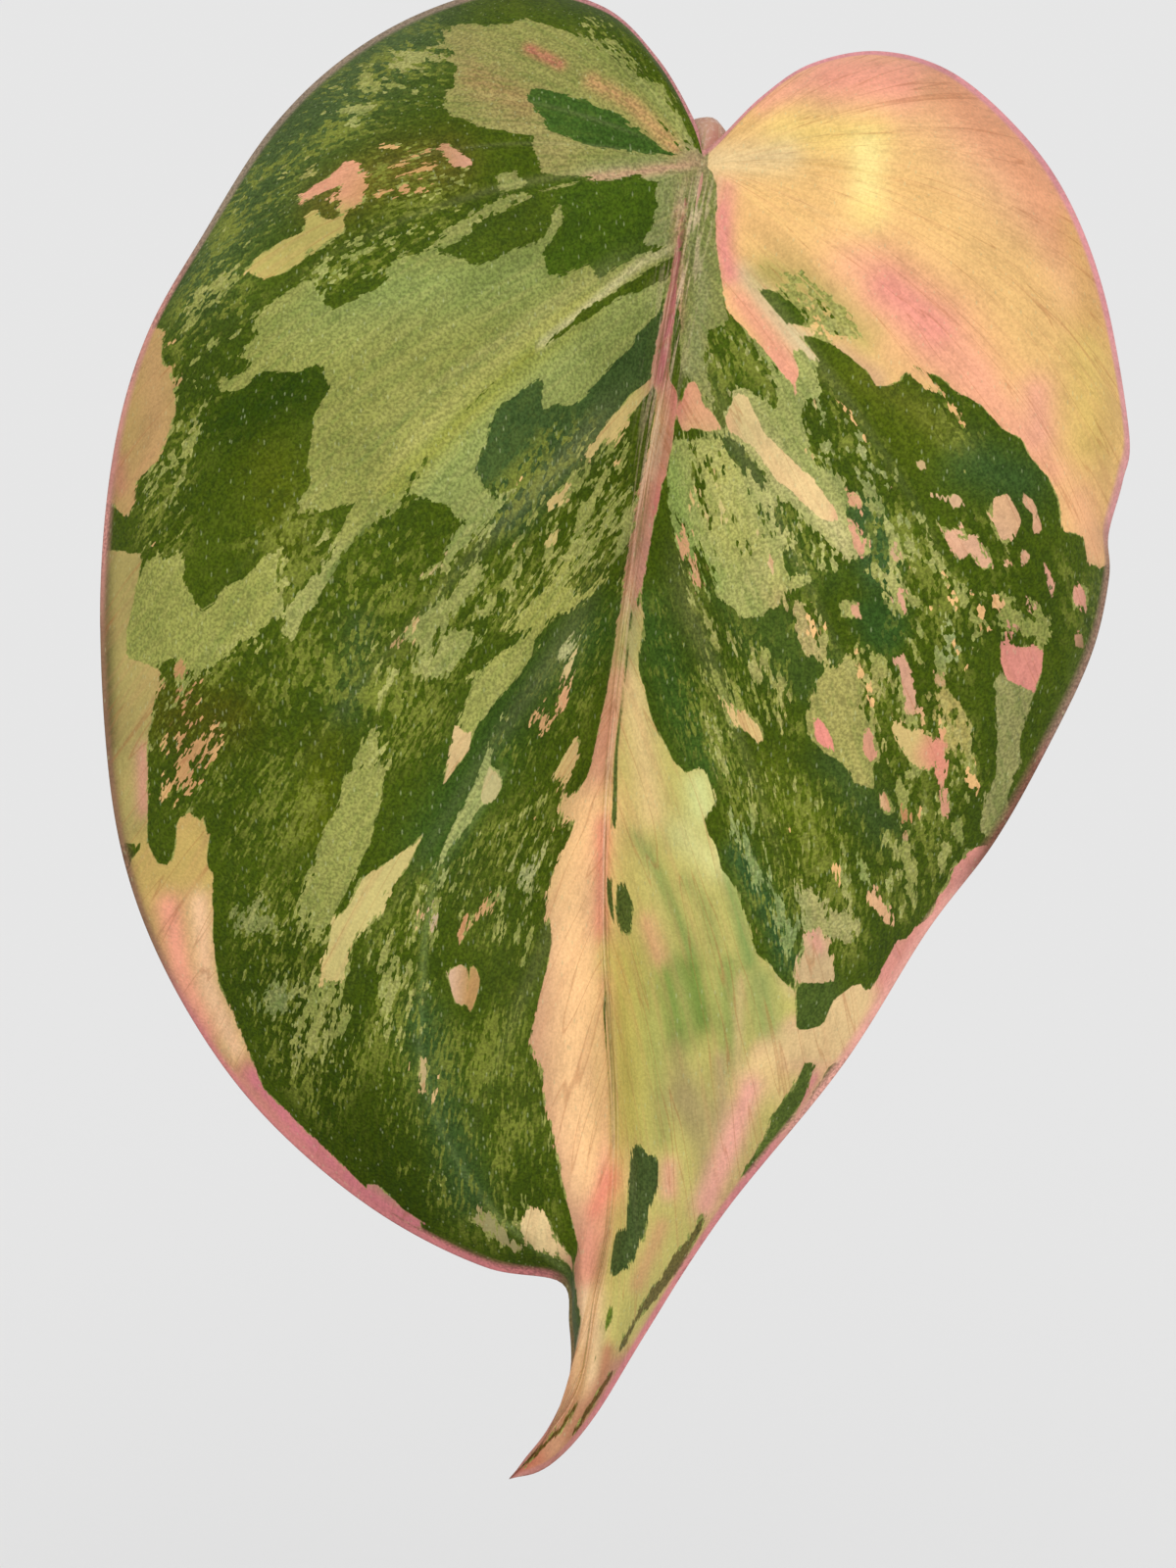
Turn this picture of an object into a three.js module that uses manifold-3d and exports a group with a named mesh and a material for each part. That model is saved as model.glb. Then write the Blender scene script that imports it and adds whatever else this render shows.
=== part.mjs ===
// A potted velvet leaf philodendron: a young variegated vine of three rooted cuttings in a plain
// round stoneware pot. Millimetres, +Z up, origin at the centre of the pot's underside.
// The front leaf faces -Y, towards the viewer; every other leaf is turned away to its own side.

import * as THREE from 'three';
import { mergeVertices } from 'three/addons/utils/BufferGeometryUtils.js';
import Module from 'manifold-3d';

const wasm = await Module();
wasm.setup();

const { lerp, mapLinear, smoothstep, degToRad } = THREE.MathUtils;
const TAU = Math.PI * 2;
const UP = new THREE.Vector3(0, 0, 1);
const bell = (x) => Math.exp(-x * x);

// Driving dimensions
const GAP = 0.3;
const POT_HEIGHT = 72;
const POT_TOP_RADIUS = 39;
const POT_BASE_RADIUS = 32;
const POT_WALL = 3.2;
const POT_FLOOR = 4;
const POT_ROUND = 1.6;
const LIP_HEIGHT = 7;
const LIP_STEP = 1.4;
const DRAIN_RADIUS = 4;
const DRAIN_RING = 19;
const DRAIN_COUNT = 4;
const SOIL_TOP = 62;
const SOIL_LUMP = 0.55;
const BORE_FOOT = 49.8;
const NODE_SWELL = 0.7;
const NODE_REACH = 2.4;
const BLADE_THICKNESS = 0.9;
const PETIOLE_RADIUS = 1.15;

// How finely the round pieces are divided
const POT_SIDES = 48;
const SOIL_SIDES = 32;
const SOIL_RINGS = 5;
const STEM_SIDES = 8;
const STEM_STEP = 4;
const PETIOLE_SIDES = 6;
const PETIOLE_STEP = 3.5;
const LEAF_GRID = { rows: 16, columns: 3 };
const FRONT_GRID = { rows: 34, columns: 5 };

const FINISH = {
  pot: { color: '#e6e1d6', roughness: 0.35, metalness: 0 },
  soil: { color: '#3a2a20', roughness: 0.95, metalness: 0 },
  stem: { color: '#7c6a45', roughness: 0.6, metalness: 0 },
  leaf: { color: '#6f8440', roughness: 0.55, metalness: 0 },
  shoot: { color: '#c98a78', roughness: 0.5, metalness: 0 },
};

const plant = new THREE.Group();

function addMesh(name, geometry, finish) {
  const mesh = new THREE.Mesh(geometry, new THREE.MeshStandardMaterial(FINISH[finish]));
  mesh.name = name;
  plant.add(mesh);
}

// A closed geometry becomes a manifold-3d solid, without its zero-area triangles.
function toSolid(geometry) {
  const bare = geometry.clone();
  bare.deleteAttribute('normal');
  bare.deleteAttribute('uv');
  const merged = mergeVertices(bare, 1e-4);
  const corners = merged.index.array;
  const kept = [];
  for (let i = 0; i < corners.length; i += 3) {
    const [a, b, c] = [corners[i], corners[i + 1], corners[i + 2]];
    if (a !== b && b !== c && c !== a) kept.push(a, b, c);
  }
  return new wasm.Manifold(new wasm.Mesh({
    numProp: 3,
    vertProperties: new Float32Array(merged.attributes.position.array),
    triVerts: new Uint32Array(kept),
  }));
}

function toGeometry(solid) {
  const mesh = solid.getMesh();
  const geometry = new THREE.BufferGeometry();
  const places = new Float32Array(mesh.numVert * 3);
  for (let v = 0; v < mesh.numVert; v++) {
    for (let k = 0; k < 3; k++) places[v * 3 + k] = mesh.vertProperties[v * mesh.numProp + k];
  }
  geometry.setAttribute('position', new THREE.BufferAttribute(places, 3));
  geometry.setIndex(Array.from(mesh.triVerts));
  geometry.computeVertexNormals();
  return geometry;
}

function fromTriangles(points, triangles) {
  const geometry = new THREE.BufferGeometry();
  geometry.setAttribute('position', new THREE.Float32BufferAttribute(points.flat(), 3));
  geometry.setIndex(triangles.flat());
  return geometry;
}

const vectors = (points) => points.map((p) => new THREE.Vector3(...p));
const planar = (points) => new THREE.SplineCurve(points.map((p) => new THREE.Vector2(...p)));

// A closed round rod along a curve; radiusAt(t) gives its radius from the start, 0, to the end, 1.
function rod(curve, radiusAt, steps, sides) {
  const frames = curve.computeFrenetFrames(steps, false);
  const points = [];
  const triangles = [];
  for (let i = 0; i <= steps; i++) {
    const centre = curve.getPointAt(i / steps);
    for (let j = 0; j < sides; j++) {
      const angle = (TAU * j) / sides;
      const spoke = frames.normals[i].clone().multiplyScalar(Math.cos(angle))
        .addScaledVector(frames.binormals[i], Math.sin(angle))
        .multiplyScalar(radiusAt(i / steps));
      points.push(centre.clone().add(spoke).toArray());
    }
  }
  for (let i = 0; i < steps; i++) {
    for (let j = 0; j < sides; j++) {
      const [a, b] = [i * sides + j, i * sides + ((j + 1) % sides)];
      triangles.push([a, b, b + sides], [a, b + sides, a + sides]);
    }
  }
  const first = points.push(curve.getPointAt(0).toArray()) - 1;
  const last = points.push(curve.getPointAt(1).toArray()) - 1;
  for (let j = 0; j < sides; j++) {
    const next = (j + 1) % sides;
    triangles.push([first, next, j], [last, steps * sides + j, steps * sides + next]);
  }
  return toSolid(fromTriangles(points, triangles));
}

// A turned solid about +Z from a profile of [radius, height] points
function turned(profile, sides) {
  return new THREE.LatheGeometry(profile.map((p) => new THREE.Vector2(...p)), sides)
    .rotateX(Math.PI / 2);
}

// The pot's cavity tapers from its rounded bottom to its mouth.
const CAVITY = {
  low: { z: POT_FLOOR + 2, radius: POT_BASE_RADIUS - POT_WALL },
  high: { z: POT_HEIGHT - 1.2, radius: POT_TOP_RADIUS - POT_WALL - 1 },
};
const cavityRadius = (z) =>
  mapLinear(z, CAVITY.low.z, CAVITY.high.z, CAVITY.low.radius, CAVITY.high.radius);

// The pot is one turned solid: a flat foot, a slightly tapered wall and a stepped, rounded lip.
// The drain holes stand clear of the foot's centre.
function potGeometry() {
  const lipFoot = POT_HEIGHT - LIP_HEIGHT;
  const profile = [
    [0, 0],
    [POT_BASE_RADIUS - POT_ROUND, 0],
    [POT_BASE_RADIUS, POT_ROUND],
    [POT_TOP_RADIUS - LIP_STEP, lipFoot - POT_ROUND / 2],
    [POT_TOP_RADIUS, lipFoot + POT_ROUND / 2],
    [POT_TOP_RADIUS, POT_HEIGHT - POT_ROUND],
    [POT_TOP_RADIUS - POT_ROUND * 0.75, POT_HEIGHT],
    [POT_TOP_RADIUS - POT_WALL, POT_HEIGHT],
    [CAVITY.high.radius, CAVITY.high.z],
    [CAVITY.low.radius, CAVITY.low.z],
    [CAVITY.low.radius - POT_ROUND, POT_FLOOR],
    [0, POT_FLOOR],
  ];
  let pot = toSolid(turned(profile, POT_SIDES));
  for (let i = 0; i < DRAIN_COUNT; i++) {
    const angle = TAU * ((i + 0.5) / DRAIN_COUNT);
    const drill = new THREE.CylinderGeometry(DRAIN_RADIUS, DRAIN_RADIUS, POT_FLOOR * 4, 12)
      .rotateX(Math.PI / 2)
      .translate(DRAIN_RING * Math.cos(angle), DRAIN_RING * Math.sin(angle), 0);
    pot = pot.subtract(toSolid(drill));
  }
  return toGeometry(pot);
}

// The stems: each is one vine with swollen nodes, on a curve that starts in the soil. The main
// one climbs, arches over to the right and carries the front leaf; nodes are shares of its length.
const STEMS = {
  main: {
    path: [[-6, 4, 50.5], [-6, 4, 66], [-9, 6, 92], [-13, 9, 120], [-13.5, 11, 148],
      [-9, 13, 174], [2, 14, 195], [20, 14, 209], [40, 13.5, 215], [58, 11, 214], [74, 8, 213]],
    radii: [2.3, 1.7],
    nodes: [0.12, 0.25, 0.38, 0.51, 0.65, 0.8, 0.93],
  },
  back: {
    path: [[10, 12, 50.5], [11, 13, 62], [16, 18, 71], [26, 25, 76.5], [37, 30, 77]],
    radii: [2.0, 1.6],
    nodes: [0.42, 0.8],
  },
  front: {
    path: [[8, -15, 50.5], [8.5, -15.5, 62], [12, -19, 74], [20, -23, 84], [29, -24, 90]],
    radii: [1.9, 1.5],
    nodes: [0.46, 0.78],
  },
};

for (const stem of Object.values(STEMS)) {
  stem.curve = new THREE.CatmullRomCurve3(vectors(stem.path));
  stem.length = stem.curve.getLength();
  stem.radiusAt = (t) => {
    const swell = stem.nodes.map((n) => bell(((t - n) * stem.length) / NODE_REACH));
    return lerp(stem.radii[0], stem.radii[1], t) + NODE_SWELL * Math.max(...swell);
  };
}

function stemGeometry(stem) {
  const steps = Math.round(stem.length / STEM_STEP);
  return toGeometry(rod(stem.curve, stem.radiusAt, steps, STEM_SIDES));
}

// The soil fills the pot to SOIL_TOP, with a lumpy top and a plain hole for each stem.
function soilGeometry() {
  const inner = (z) => cavityRadius(z) - GAP;
  const bottom = POT_FLOOR + GAP;
  const crown = inner(SOIL_TOP) - 0.8;
  const profile = [
    [0, bottom],
    [inner(CAVITY.low.z) - POT_ROUND, bottom],
    [inner(CAVITY.low.z), CAVITY.low.z + GAP],
    [inner(SOIL_TOP), SOIL_TOP - POT_ROUND],
  ];
  for (let i = SOIL_RINGS; i >= 0; i--) profile.push([crown * (i / SOIL_RINGS), SOIL_TOP]);
  const heap = turned(profile, SOIL_SIDES);
  const place = heap.attributes.position;
  for (let v = 0; v < place.count; v++) {
    const [x, y, z] = [place.getX(v), place.getY(v), place.getZ(v)];
    if (z < SOIL_TOP - 0.1) continue;
    const lump = Math.sin(x * 0.61 + 1.3) * Math.cos(y * 0.53) + Math.sin(x * 0.23 - y * 0.31);
    place.setZ(v, SOIL_TOP + SOIL_LUMP * lump);
  }
  let soil = toSolid(heap);
  for (const stem of Object.values(STEMS)) {
    const [foot, mouth] = vectors([stem.path[0], stem.path[1]]);
    mouth.lerp(foot, -0.5).setZ(SOIL_TOP + 9);
    foot.setZ(BORE_FOOT);
    const radius = stem.radii[0] + GAP * 1.5;
    soil = soil.subtract(rod(new THREE.LineCurve3(foot, mouth), () => radius, 1, 16));
  }
  return toGeometry(soil);
}

// Leaf outlines, in millimetres from the petiole's joint: across, then down towards the tip.
// The front leaf has its own two margins and midrib, because its drip tip swings to one side.
const FRONT_OUTLINE = {
  left: [[-0.1, -0.9], [-0.9, -3.1], [-3, -6.9], [-6.2, -10.3], [-11.4, -11.7], [-16.9, -10.3],
    [-22, -7.2], [-26.4, -2.6], [-30.6, 4.2], [-34.1, 10.5], [-36.1, 17.4], [-36.9, 25.9],
    [-36.5, 35.5], [-35.4, 42.7], [-33.1, 49.1], [-29.4, 55.4], [-25, 60.3], [-19.4, 64.7],
    [-13.4, 67.8], [-8.7, 68.8], [-8.1, 71.5], [-8.1, 74.8], [-9.5, 78.1], [-12, 81.1]],
  right: [[-0.1, -0.9], [1, -1.5], [3.7, -4.3], [6.8, -6.6], [10.9, -7.6], [15.1, -6.4],
    [18.9, -3], [22.2, 1.8], [24.8, 8], [26.3, 16.2], [25.9, 19.2], [24.9, 22.5],
    [24.9, 25.2], [23.9, 29.8], [21.6, 35.4], [18, 41.4], [13.9, 46.9], [8.2, 55],
    [1.4, 64.2], [-3.6, 72], [-6.9, 77.2], [-9.5, 80], [-12, 81.1]],
  rib: [[0, 0], [-1.1, 5.5], [-2.1, 10.9], [-3.5, 18.7], [-4.9, 28.3], [-5.9, 37.9],
    [-6.1, 46.9], [-5.5, 57.2], [-5.6, 63.9], [-6.6, 69.4], [-7.8, 75.6], [-12, 81.1]],
  length: 81.1,
};
// The other leaves share one heart-shaped half, in shares of the blade's length.
const PLAIN_HALF = [[0, -0.012], [0.03, -0.05], [0.09, -0.12], [0.17, -0.165], [0.26, -0.15],
  [0.335, -0.095], [0.39, -0.01], [0.41, 0.1], [0.4, 0.22], [0.365, 0.35], [0.305, 0.48],
  [0.23, 0.61], [0.15, 0.73], [0.085, 0.82], [0.045, 0.88], [0.022, 0.94], [0, 1]];
const PLAIN_RIB_STEPS = 8;

// A plain leaf's tip sways sideways more and more towards its end.
function plainOutline({ length, sway }) {
  const swing = (down) => sway * Math.max(0, down) ** 2;
  const half = (side) => PLAIN_HALF.map(([across, down]) =>
    [length * (side * across + swing(down)), length * down]);
  const rib = [];
  for (let i = 0; i <= PLAIN_RIB_STEPS; i++) {
    const down = i / PLAIN_RIB_STEPS;
    rib.push([length * swing(down), length * down]);
  }
  return { left: half(-1), right: half(1), rib, length };
}

// Veins run from the midrib to each share of the margin: those of the lobes fan out from the
// petiole's joint, and the lower ones leave the midrib further and further down, in a slight bow.
const FAN_SHARE = 0.38;
const VEIN_SPREAD = 2.4;
const MIN_ROOT = 0.02;
const VEIN_BOW = 0.03;
const LOBE_BOW = 0.09;

function veinRoot(share) {
  if (share <= FAN_SHARE) return 0;
  const root = ((share - FAN_SHARE) / (1 - FAN_SHARE)) ** VEIN_SPREAD;
  return root < MIN_ROOT ? 0 : root;
}

function veinBow(share) {
  return smoothstep(share, 0, 0.08) * (VEIN_BOW + LOBE_BOW * bell((share - 0.37) / 0.15));
}

// The blade's form, in shares of its length: how far the tip droops and the lobes lean back, how
// the halves fold up from the midrib and arch, and how the margin rolls under and waves.
const FRONT_FORM = { droop: 0.07, lobes: 1.0, fold: 0.1, arch: 0.045, roll: 0.06, wave: 0.008,
  waves: 4, phase: 0.1 };
const PLAIN_FORM = { droop: 0.16, lobes: 0.9, fold: 0.14, arch: 0.035, roll: 0.05, wave: 0.016,
  waves: 4 };

// Depth towards the upper face, as a share of the length, where share is the place along the
// margin, reach the way from midrib to margin, spread that way's length and down the height.
function bladeDepth(form, side, share, reach, spread, down) {
  const ends = smoothstep(share, 0, 0.12) * (1 - smoothstep(share, 0.86, 1));
  const hang = -form.droop * down * down;
  const lobes = -form.lobes * Math.max(0, -down) ** 1.5;
  const fold = form.fold * spread;
  const arch = form.arch * Math.sin(Math.PI * reach) * ends;
  const roll = -form.roll * reach ** 5 * ends;
  const ripple = form.wave * reach ** 3 * ends
    * Math.sin(TAU * (form.waves * share + form.phase) + side);
  return hang + lobes + fold + arch + roll + ripple;
}

// The blade as a closed solid in the leaf's own frame: X across, Y up towards the lobes and Z out
// of the upper face. Its rows follow the veins from the midrib to the margin.
function bladeSolid(outline, form, { rows, columns }) {
  const rib = planar(outline.rib);
  const points = [];
  const triangles = [];
  for (const side of [-1, 1]) {
    const margin = planar(side < 0 ? outline.left : outline.right);
    const grid = { top: [], under: [] };
    for (let i = 0; i <= rows; i++) {
      const share = i / rows;
      const root = i === rows ? margin.getPointAt(1) : rib.getPointAt(veinRoot(share));
      const chord = margin.getPointAt(share).sub(root);
      const outward = new THREE.Vector2(side * chord.y, -side * chord.x);
      const line = { top: [], under: [] };
      for (let j = 0; j <= columns; j++) {
        const reach = j / columns;
        const bow = veinBow(share) * 4 * reach * (1 - reach);
        const at = root.clone().addScaledVector(chord, reach).addScaledVector(outward, bow);
        const spread = (reach * chord.length()) / outline.length;
        const depth = outline.length
          * bladeDepth(form, side, share, reach, spread, at.y / outline.length);
        line.top.push(points.push([at.x, -at.y, depth]) - 1);
        line.under.push(points.push([at.x, -at.y, depth - BLADE_THICKNESS]) - 1);
      }
      grid.top.push(line.top);
      grid.under.push(line.under);
    }
    const quad = (a, b, c, d) => {
      if (side < 0) triangles.push([a, b, c], [a, c, d]);
      else triangles.push([a, c, b], [a, d, c]);
    };
    for (let i = 0; i < rows; i++) {
      for (let j = 0; j < columns; j++) {
        const cell = (face) => [face[i][j], face[i][j + 1], face[i + 1][j + 1], face[i + 1][j]];
        quad(...cell(grid.top));
        quad(...cell(grid.under).reverse());
      }
      quad(grid.under[i + 1][columns], grid.top[i + 1][columns], grid.top[i][columns],
        grid.under[i][columns]);
    }
  }
  return toSolid(fromTriangles(points, triangles));
}

// The leaves. joint is where the petiole meets the blade, facing the compass turn of its upper
// face (0 looks to -Y, 90 to +X), hang how far its tip points down, where 90 is plumb, and rise
// how high the petiole arches. The front leaf's petiole follows its own lead behind the lobe.
const LEAVES = {
  leaf_front: { stem: 'main', node: 0.8, joint: [57.1, -5.4, 183.3], facing: 0, hang: 80,
    outline: FRONT_OUTLINE, form: FRONT_FORM, grid: FRONT_GRID,
    lead: [[-8.5, 11, -9], [-4.6, 4, -7.2], [-1.6, 1.7, -4.8]] },
  leaf_low_left: { stem: 'main', node: 0.12, joint: [-29, -37, 106], facing: -28, hang: 68,
    length: 64, sway: 0.05, phase: 0.3, rise: 9 },
  leaf_back_left: { stem: 'main', node: 0.25, joint: [-42, 40, 136], facing: -136, hang: 62,
    length: 68, sway: -0.06, phase: 0.7, rise: 10 },
  leaf_left: { stem: 'main', node: 0.38, joint: [-54, -4, 166], facing: -84, hang: 60,
    length: 70, sway: 0.07, phase: 0.1, rise: 10 },
  leaf_back: { stem: 'main', node: 0.51, joint: [-24, 50, 196], facing: -166, hang: 58,
    length: 66, sway: -0.05, phase: 0.5, rise: 10 },
  leaf_top: { stem: 'main', node: 0.65, joint: [-34, -2, 226], facing: -62, hang: 42,
    length: 52, sway: 0.06, phase: 0.9, rise: 12 },
  leaf_young: { stem: 'main', node: 0.93, joint: [84, -6, 232], facing: 58, hang: 38,
    length: 38, sway: 0.08, phase: 0.2, rise: 10 },
  leaf_right: { stem: 'back', node: 0.42, joint: [52, 6, 76], facing: 96, hang: 70,
    length: 60, sway: -0.07, phase: 0.4, rise: 5 },
  leaf_back_right: { stem: 'back', node: 0.8, joint: [37, 50, 66], facing: 150, hang: 66,
    length: 56, sway: 0.05, phase: 0.8, rise: 9 },
  leaf_low_front: { stem: 'front', node: 0.46, joint: [22, -50, 88], facing: 24, hang: 68,
    length: 58, sway: -0.06, phase: 0.6, rise: 6 },
};

function leafFrame({ joint, facing, hang }) {
  const [turn, drop] = [facing, hang].map(degToRad);
  const away = new THREE.Vector3(Math.sin(turn), -Math.cos(turn), 0);
  const tip = away.clone().multiplyScalar(Math.cos(drop)).addScaledVector(UP, -Math.sin(drop));
  const face = away.clone().multiplyScalar(Math.sin(drop)).addScaledVector(UP, Math.cos(drop));
  const top = tip.clone().negate();
  const across = new THREE.Vector3().crossVectors(top, face);
  return new THREE.Matrix4().makeBasis(across, top, face)
    .setPosition(new THREE.Vector3(...joint));
}

// The petiole leaves its node square to the stem, climbs, arches over the notch into the blade's
// joint and runs on as the raised midrib under the blade, as far as the last of MIDRIB_SHARES.
const MIDRIB_SHARES = [0.07, 0.2, 0.36, 0.52];
const PETIOLE_BACK = [0.2, 3.4, -5.2];
const PETIOLE_CREST = [0.3, 2, -2.2];

function petioleSolid(leaf, outline, form, frame) {
  const stem = STEMS[leaf.stem];
  const node = stem.curve.getPointAt(leaf.node);
  const along = stem.curve.getTangentAt(leaf.node);
  const out = new THREE.Vector3(...leaf.joint).sub(node);
  out.addScaledVector(along, -out.dot(along)).normalize();
  const start = node.clone().addScaledVector(out, stem.radiusAt(leaf.node) + GAP + 0.1);
  const route = [start, start.clone().addScaledVector(out, 2.5)];

  const size = outline.length / FRONT_OUTLINE.length;
  const local = (x, y, z) => new THREE.Vector3(x, y, z).applyMatrix4(frame);
  if (leaf.lead) route.push(...leaf.lead.map((p) => local(...p)));
  else {
    const back = local(...PETIOLE_BACK.map((v) => v * size));
    route.push(route[1].clone().lerp(back, 0.5).addScaledVector(UP, leaf.rise), back);
  }
  const [crestX, crestY, crestZ] = PETIOLE_CREST;
  route.push(local(crestX * size, crestY * size, crestZ), local(0, -0.4, -BLADE_THICKNESS - 0.35));
  const rib = planar(outline.rib);
  for (const share of MIDRIB_SHARES) {
    const at = rib.getPointAt(share);
    const sag = outline.length * form.droop * (at.y / outline.length) ** 2;
    route.push(local(at.x, -at.y, -sag - BLADE_THICKNESS - 0.25));
  }

  const curve = new THREE.CatmullRomCurve3(route, false, 'centripetal');
  const whole = curve.getLength();
  const bladeFrom = 1 - (MIDRIB_SHARES.at(-1) * outline.length) / whole;
  const thick = PETIOLE_RADIUS * Math.sqrt(size);
  const radiusAt = (t) => {
    const sheath = 0.5 * bell((t * whole) / 3);
    return (thick + sheath) * (1 - 0.6 * smoothstep(t, bladeFrom, 1));
  };
  return rod(curve, radiusAt, Math.round(whole / PETIOLE_STEP), PETIOLE_SIDES);
}

function leafGeometry(leaf) {
  const outline = leaf.outline ?? plainOutline(leaf);
  const form = leaf.form ?? { ...PLAIN_FORM, phase: leaf.phase };
  const frame = leafFrame(leaf);
  const blade = toGeometry(bladeSolid(outline, form, leaf.grid ?? LEAF_GRID)).applyMatrix4(frame);
  return toGeometry(toSolid(blade).add(petioleSolid(leaf, outline, form, frame)));
}

// Each stem ends in a new leaf, still rolled in its sheath: a bud that swells and then narrows.
const SHOOTS = {
  shoot_main: { stem: 'main', tip: [[84, 5, 219], [92, 2, 230]], radius: 1.9 },
  shoot_back: { stem: 'back', tip: [[44, 33, 77], [50, 37, 74.5]], radius: 1.5 },
  shoot_front: { stem: 'front', tip: [[36, -24, 93], [43, -26, 94]], radius: 1.5 },
};
const SHOOT_POINT = 0.35;

function shootGeometry({ stem, tip, radius }) {
  const { curve } = STEMS[stem];
  const ahead = curve.getTangentAt(1);
  const base = [GAP + 0.1, 3].map((step) => curve.getPointAt(1).addScaledVector(ahead, step));
  const path = new THREE.CatmullRomCurve3([...base, ...vectors(tip)]);
  const swell = (t) => (1 - 0.25 * (1 - t) ** 6) * (1 - t ** 2.2);
  return toGeometry(rod(path, (t) => Math.max(SHOOT_POINT, radius * swell(t)), 8, STEM_SIDES));
}

addMesh('pot', potGeometry(), 'pot');
addMesh('soil', soilGeometry(), 'soil');
for (const [name, stem] of Object.entries(STEMS)) {
  addMesh(`stem_${name}`, stemGeometry(stem), 'stem');
}
for (const [name, leaf] of Object.entries(LEAVES)) addMesh(name, leafGeometry(leaf), 'leaf');
for (const [name, shoot] of Object.entries(SHOOTS)) addMesh(name, shootGeometry(shoot), 'shoot');

export default plant;
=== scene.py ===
import bmesh
import bpy
import math
import numpy as np
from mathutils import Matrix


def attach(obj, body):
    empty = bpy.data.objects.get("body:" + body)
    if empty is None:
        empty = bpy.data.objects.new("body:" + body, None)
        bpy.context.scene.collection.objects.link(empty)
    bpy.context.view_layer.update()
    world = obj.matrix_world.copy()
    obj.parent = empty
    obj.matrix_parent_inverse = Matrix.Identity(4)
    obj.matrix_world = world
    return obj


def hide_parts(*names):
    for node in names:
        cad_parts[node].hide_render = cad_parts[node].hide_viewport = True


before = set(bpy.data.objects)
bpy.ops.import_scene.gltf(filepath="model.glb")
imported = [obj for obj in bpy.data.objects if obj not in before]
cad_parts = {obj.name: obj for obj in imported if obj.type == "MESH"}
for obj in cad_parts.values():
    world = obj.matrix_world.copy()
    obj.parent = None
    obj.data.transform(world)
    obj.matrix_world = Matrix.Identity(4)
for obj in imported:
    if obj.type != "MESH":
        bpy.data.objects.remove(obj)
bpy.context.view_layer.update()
MM = 0.001

# The camera looks square onto the front leaf, ten degrees down, from 380 mm away, so the frame is
# 96 mm tall where that leaf hangs.
VIEW_CENTRE = np.array([50.0, -12.0, 146.0])
VIEW_DISTANCE = 380.0
VIEW_TILT = math.radians(10)
VIEW_HEIGHT = 96.0
SENSOR = 36.0
CLIP = (0.01, 50)


def in_scene(name, data):
    """An object made of this data, standing at the scene's origin."""
    thing = bpy.data.objects.new(name, data)
    bpy.context.scene.collection.objects.link(thing)
    return thing


look = np.array([0.0, math.cos(VIEW_TILT), -math.sin(VIEW_TILT)])
camera = in_scene("camera", bpy.data.cameras.new("camera"))
camera.location = (VIEW_CENTRE - look * VIEW_DISTANCE) * MM
camera.rotation_euler = (math.pi / 2 - VIEW_TILT, 0, 0)
camera.data.sensor_fit = "VERTICAL"
camera.data.sensor_height = SENSOR
camera.data.lens = SENSOR * VIEW_DISTANCE / VIEW_HEIGHT
camera.data.clip_start, camera.data.clip_end = CLIP
bpy.context.scene.camera = camera


# Leaf blades. Each is a thin heart-shaped sheet of living tissue, velvety above and smooth below,
# grown in one piece with its petiole. The mesh follows the veins: its rows run along them from the
# midrib to the margin, so share is the place along the margin and reach the way out to it.
# The front leaf's outline and midrib are in millimetres, across and down from its petiole's joint;
# half of a plain leaf's outline is in shares of its length.
FRONT_OUTLINE = {
    "left": [(-0.1, -0.9), (-0.9, -3.1), (-3, -6.9), (-6.2, -10.3), (-11.4, -11.7), (-16.9, -10.3),
             (-22, -7.2), (-26.4, -2.6), (-30.6, 4.2), (-34.1, 10.5), (-36.1, 17.4), (-36.9, 25.9),
             (-36.5, 35.5), (-35.4, 42.7), (-33.1, 49.1), (-29.4, 55.4), (-25, 60.3), (-19.4, 64.7),
             (-13.4, 67.8), (-8.7, 68.8), (-8.1, 71.5), (-8.1, 74.8), (-9.5, 78.1), (-12, 81.1)],
    "right": [(-0.1, -0.9), (1, -1.5), (3.7, -4.3), (6.8, -6.6), (10.9, -7.6), (15.1, -6.4),
              (18.9, -3), (22.2, 1.7), (24.6, 8), (26.1, 16.2), (25.7, 19.2), (24.8, 22.5),
              (24.8, 25.2), (23.7, 29.8), (21.1, 35.4), (17.8, 41.4), (13.7, 46.9), (8.6, 55),
              (1.4, 64.2), (-3.6, 72), (-6.9, 77.2), (-9.5, 80), (-12, 81.1)],
    "rib": [(0, 0), (-1.1, 5.5), (-2.1, 10.9), (-3.5, 18.7), (-4.9, 28.3), (-5.9, 37.9),
            (-6.1, 46.9), (-5.5, 57.2), (-5.6, 63.9), (-6.6, 69.4), (-7.8, 75.6), (-12, 81.1)],
    "length": 81.1,
}
PLAIN_HALF = [(0, -0.012), (0.03, -0.05), (0.09, -0.12), (0.17, -0.165), (0.26, -0.15),
              (0.335, -0.095), (0.39, -0.01), (0.41, 0.1), (0.4, 0.22), (0.365, 0.35),
              (0.305, 0.48), (0.23, 0.61), (0.15, 0.73), (0.085, 0.82), (0.045, 0.88),
              (0.022, 0.94), (0, 1)]
SIDES = {-1: "left", 1: "right"}
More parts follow.
